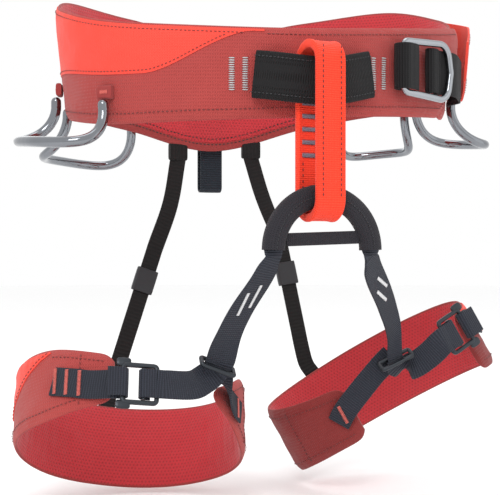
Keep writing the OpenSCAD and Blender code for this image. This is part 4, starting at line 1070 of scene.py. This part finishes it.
for leg in legs:
    side, b = leg["side"], bridges[leg["side"]]
    ring, way, across = leg["ring"], leg["ringWay"], leg["ringSide"]
    legUp = legTurned(leg, up)
    start = vec(arch["x"] + b["sign"] * arch["r"], arch["y"], arch["z"] - 4.8)
    p = list(through([start] + b["middles"] + [ring - way * 3.8], 8))
    n, head = len(p) - 1, [start + vec(0, 0, 12), start + vec(0, 0, 5)]
    ways, wide = [], []
    for i in range(n + 1):
        f = i / n
        ways.append(mix(*b["across"], f / 0.6) if f < 0.6 else mix(b["across"][1], across, ease(0.6, 1, f)))
        wide.append(legBuckle["web"] * mix(1, b["narrow"], ease(0.55, 0.9, f)))
    ways, wide = [vec(1, 0, 0), vec(1, 0.1, 0)] + ways, [13,
            14.5] + [w * mix(0.74, 1, ease(0, 5, i)) for i, w in enumerate(wide)]
    tackAt = [(p[14 - 2 * j], unit(p[15 - 2 * j] - p[13 - 2 * j]), ways[16 - 2 * j], j) for j in (0, 1)]
    q = list(through([ring - way * 1.28, ring + way * 4.5] + b["after"]
                     + [fromLegBuckle(leg, 19.5, 2.6), fromLegBuckle(leg, 11.5, 2.6)], 6))
    m = len(q) - 1
    ways += [mix(across, -legUp, ease(0.1, 0.8, i / m)) for i in range(m + 1)]
    wide += [legBuckle["web"] * mix(b["narrow"], 1, ease(0, 0.2, i / m)) for i in range(m + 1)]
    strap = webbing("legWebbing_" + side, head + p + q, ways, wide, legBuckle["webThick"], slateWebbing, crown=0.15,
            step=1.3)
    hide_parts("bridge_strap_" + side, "leg_strap_" + side)
    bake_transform(strap)
    leg["tacks"] = []
    for c, w, a, j in tackAt:
        a = unit(a - a.dot(w) * w)
        face = np.cross(w, a)
        face *= -1 if face[1] > 0 else 1
        lean = math.radians(b["slant"]) * (1 if face.dot(np.cross(w, a)) > 0 else -1)
        line = [c + a * (j * 6 - 3 + u * math.sin(lean)) + w * (u * math.cos(lean)) + face * 1.25
                for u in np.linspace(-10, 10, 16)]
        leg["tacks"].append((line, [face] * 16))

    # ring, buckle and the webbing wrapped round its bar
    ringOut = np.cross(way, across)
    obj = roundFrame("legRing_" + side, roundedBox(29, 12, 3, 80), 3.2, 3.2,
                     lambda x, y, out, r=ring, a=across, o=ringOut, w=way: r + a * x + o * y + w * out, gunmetal,
                     power=2.2)
    settle(obj, leg["body"], "dark_metal", "leg_ring_" + side)
    flat = resample(hullOf(list(map(tuple, roundedBox(27, 30.8, 4)))), 100, True)
    obj = roundFrame("legBuckleFrame_" + side, flat, 3.4, 3.2, lambda x, y, out, g=leg: fromLegBuckle(g, x, out, y),
            gunmetal, power=2.8)
    ears = [tube("ear", [fromLegBuckle(leg, -11.5 + 5 * f, 0, 15.6 * h + 0.0) for f in (-1, -0.8, 0, 0.8, 1)], legUp,
            3.4, 1.2,
                 gunmetal, power=3.0, sides=16, scale=[0.6, 0.9, 1, 0.9, 0.6], step=1.0) for h in (-1, 1)]
    obj = joinPieces("legBuckle_" + side, [obj] + ears)
    settle(obj, leg["body"], "dark_metal", "leg_buckle_" + side)
    path = [fromLegBuckle(leg, 11.2, 2.6), fromLegBuckle(leg, 9.6, 2.6)]
    path += [fromLegBuckle(leg, 2.6 - 2.7 * math.sin(a), 2.7 * math.cos(a))
            for a in arc(12)] + [fromLegBuckle(leg, 7.6, -2.7)]
    wrap = webbing("legWrap_" + side, path, legUp, 21, 1.6, slateWebbing, step=0.9)
    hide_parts("leg_wrap_" + side)
    tuple(fromLegBuckle(leg, 10.5, 2.6) * mm)
    tuple(fromLegBuckle(leg, 4.5, 2.6) * mm)
    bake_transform(wrap)

    # sewn strap that holds the buckle to the pad
    (s0, z0), (s1, z1) = leg["strapEnd"], leg["buckle"]
    sewn = [onPad(leg["pad"], mix(s0, s1 + 16, f), mix(z0, z1, f), 1.9) for f in (0, 0.25, 0.5, 0.75)]
    x0 = -11.8
    path = list(through(sewn + [fromLegBuckle(leg, x0 - 6, -3.2)], 5))
    path += [fromLegBuckle(leg, x0 + 3.2 * math.sin(a), -3.2 * math.cos(a)) for a in arc(12)]
    path += [fromLegBuckle(leg, x0 - 5, 3.2), fromLegBuckle(leg, x0 - 11, 2.8)]
    obj = webbing("buckleStrap_" + side, path, legUp, 21, 1.6, slateWebbing, crown=0.1)
    settle(obj, leg["body"], "leg_webbing", "buckle_strap_" + side)
    row = []
    for f in (0.06, 0.3, 0.56):
        c, normal = onPad(leg["pad"], mix(s0, s1 + 16, f), mix(z0, z1, f), 3.0), legTurned(leg,
                legNormal(leg, mix(s0, s1 + 16, f)))
        row.append(([c + legUp * u for u in np.linspace(-9, 9, 12)], [normal] * 12))
    settle(stitches("buckleStrapTacks_" + side, row, redThread, 0.9, 3.4, 0.8, math.pi / 2), leg["body"],
            "bartack_thread")

    # accent panel and seams on the pad
    ts = np.linspace(60, 104, 50)
    low = lambda s, g=leg: mix(legHalf(g, s) - 4, -0.35 * legHalf(g, s), (s - 60) / 44)
    obj = patch("legAccent_" + side, leg["pad"], ts, low, lambda s, g=leg: legHalf(g, s) - 2.6, coralRipstop,
            out=(0.05, 0.75))
    settle(obj, leg["body"], "accent_fabric", "leg_accent_" + side)
    a, e = leg["run"]
    along = np.linspace(a + 6, e - 6, 200)
    lines = [padLine(leg["pad"], [(s, k * (legHalf(leg, s) - 7)) for s in along if not (k > 0 and 58 < s < 106)])
            for k in (1, -1)]
    lines += [padLine(leg["pad"], [(s, z) for z in np.linspace(-0.8, 0.8, 30) * legHalf(leg, s)])
            for s in leg["seams"] if s > 106 or s < 58]
    lines += [padLine(leg["pad"], [(s, low(s) + 2.2) for s in ts[3:]], 0.95)]
    settle(stitches("legSeams_" + side, lines, maroonThread, 3.2, 2.3, 0.75), leg["body"], "bartack_thread")

    # short strap from the pad's inner end to the ring
    left = side == "left"
    e = (312, -6) if left else (330, -2)
    o = np.cross(way, across)
    first = inHarness(leg, legPoint(leg, e[0], 0, 0))
    m = 1 if o.dot(first) > o.dot(ring) else -1
    low = ring + o * m * 8.0 + way * 1.5
    path = through([inHarness(leg, legPoint(leg, e[0], 1.0, e[1])),
                    inHarness(leg, legPoint(leg, e[0] + 8, 1.8, e[1] + (3 if left else 8))),
                    mix(inHarness(leg, legPoint(leg, e[0] + 16, 4, e[1] + (8 if left else 16))), low, 0.5), low], 6)
    n = len(path) - 1
    lean = across if legUp.dot(across) > 0 else -across
    obj = webbing("ringStrap_" + side, path, [mix(legUp, lean, ease(0.22, 0.9, i / n)) for i in range(n + 1)],
                  [mix(18, 19, i / n) for i in range(n + 1)], 1.4, slateWebbing, crown=0.1)
    settle(obj, leg["body"], "leg_webbing", "ring_strap_" + side)
    c = path[4]
    normal = legTurned(leg, legNormal(leg, e[0] + 5))
    row = [([c + legUp * u + normal * 1.2 for u in np.linspace(-7, 7, 10)], [normal] * 10)]
    settle(stitches("ringStrapTack_" + side, row, redThread, 0.9, 3.4, 0.8, math.pi / 2), leg["body"],
            "bartack_thread")

obj = stitches("bridgeTacks", [l for leg in legs for l in leg["tacks"]], whiteThread, 0.8, 2.9, 0.9, math.pi / 2)
settle(obj, "waistbelt", "bartack_thread", "bridge_bartacks")
print("leg webbing made")

# ---- risers at the back
risers = {"left": {"t": 192, "s": 184, "bend": vec(-58, 91, -122), "nudge": vec(4, 2, -6), "slider": 29},
          "right": {"t": 168, "s": 206, "bend": vec(56, 90, -112), "nudge": vec(-1, 2, -6), "slider": 33}}
tabs = []
for leg in legs:
    r, side = risers[leg["side"]], leg["side"]
    top = beltPoint(r["t"], -4, beltBottom(r["t"]))

    def end(out, z, g=leg, s=r["s"]):
        return inHarness(g, legPoint(g, s, out, legHalf(g, s) + z))
    way = unit(end(6, 10) - r["bend"])
    split = r["bend"] + way * 80
    path = [top - vec(0, 0, 7)] + list(through([top - vec(0, 0, 11), mix(top, r["bend"], 0.5) + r["nudge"],
            r["bend"]], 8)) + [split]
    k = len(path)
    low = list(through([split + way * 0.8, mix(split, end(6, 10), 0.6), end(5, 8), end(1.6, -3), end(1.2, -14)], 6))
    ways = [vec(1, 0, 0)] * k + [mix(vec(1, 0, 0),
            legTurned(leg, legTangent(leg, r["s"])) * (1 if side == "left" else -1), i / (len(low) - 1))
                                for i in range(len(low))]
    obj = webbing("riser_" + side, path + low, ways, 14, 1.6, elasticTape, crown=0.1)
    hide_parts("riser_upper_" + side, "riser_lower_" + side)
    tuple(end(5, 8) * mm)
    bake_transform(obj)
    c, wayAcross = end(2.6, -8), legTurned(leg, legTangent(leg, r["s"]))
    normal = legTurned(leg, legNormal(leg, r["s"]))
    row = [([c + wayAcross * u + legTurned(leg, up) * z for u in np.linspace(-5.5, 5.5, 10)], [normal] * 10)
            for z in (0, -4)]
    settle(stitches("riserTack_" + leg["side"], row, redThread, 0.9, 3.0, 0.8, math.pi / 2), leg["body"],
            "bartack_thread")
    tabs.append(foldedTab("riserTab", top - vec(0, 0, 4.6), beltTangent(r["t"]), up, (16.5, 4.6, 15), elasticTape,
            4.5))
    # slider: a flat plastic loop with a slot for the elastic
    place = r["bend"] + way * r["slider"]
    wide = unit(vec(1, 0, 0) - way[0] * way)
    deep = np.cross(way, wide)
    obj = roundFrame("riserSlider_" + side, roundedBox(18.4, 5.4, 1.6, 60), 1.6, 20,
                     lambda x, y, out, c=place, a=wide, d=deep, w=way: c + a * x + d * y + w * out, blackPlastic,
                     power=5.0, sides=24)
    settle(obj, "riser_slide_" + side, "black_plastic", "riser_slider_" + side)
settle(joinPieces("riserTabs", tabs), "waistbelt", "black_webbing", "riser_tabs")
print("risers made")

# ---- finishes of the solids that stay
finish = {"waist_buckle_slider": polishedAluminium, "leg_buckle_bar_left": gunmetal, "leg_buckle_bar_right": gunmetal}
for name, material in finish.items():
    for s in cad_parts[name].material_slots:
        s.material = material

# ---- camera, lights and a plain pale sweep
view = {"place": (-0.3728, -0.8553, -0.1216), "turn": -23.0, "lens": 85}
cam = bpy.data.objects.new("camera", bpy.data.cameras.new("camera"))
bpy.context.scene.collection.objects.link(cam)
cam.location = view["place"]
cam.rotation_euler = (math.radians(90), 0, math.radians(view["turn"]))
cam.data.lens = view["lens"]
cam.data.sensor_width = 36
bpy.context.scene.camera = cam
bpy.context.scene.view_settings.view_transform = "Standard"

world = bpy.data.worlds.new("paleRoom")
bpy.context.scene.world = world
world.use_nodes = True
world.node_tree.nodes["Background"].inputs[0].default_value = (1, 1, 1, 1)
world.node_tree.nodes["Background"].inputs[1].default_value = 1.0

lights = {"key": ((-0.9, -1.3, 1.1), 0.7, 12), "fill": ((1.3, -0.9, 0.3), 1.2, 2), "top": ((0.1, 0.2, 1.5), 1.0, 5),
          "back": ((0.2, 1.4, 0.7), 1.1, 2)}
for name, (place, size, power) in lights.items():
    lamp = bpy.data.lights.new(name, "AREA")
    lamp.size, lamp.energy = size, power
    obj = bpy.data.objects.new(name, lamp)
    obj.location = place
    obj.rotation_euler = (Vector((0, 0, -0.1)) - Vector(place)).to_track_quat("-Z", "Y").to_euler()
    bpy.context.scene.collection.objects.link(obj)

paper, tree, shader = newMaterial("painted board, matt white", "FCFCFC", Roughness=0.9)
grain = node(tree, "ShaderNodeTexNoise",
        {"Vector": node(tree, "ShaderNodeTexCoord").outputs["Object"], "Scale": 40.0})
tinted(tree, shader, "FDFDFD", "FAFAFA", grain.outputs[0])
floorZ = float(cadBox[0][2]) / mm - 2
disc = [vec(5200 * math.cos(a), 5200 * math.sin(a), floorZ) for a in np.linspace(0, 2 * math.pi, 64, endpoint=False)]
floor = makeMesh("floor", disc, [tuple(range(64))], [(p[0], p[1]) for p in disc], None, [paper])
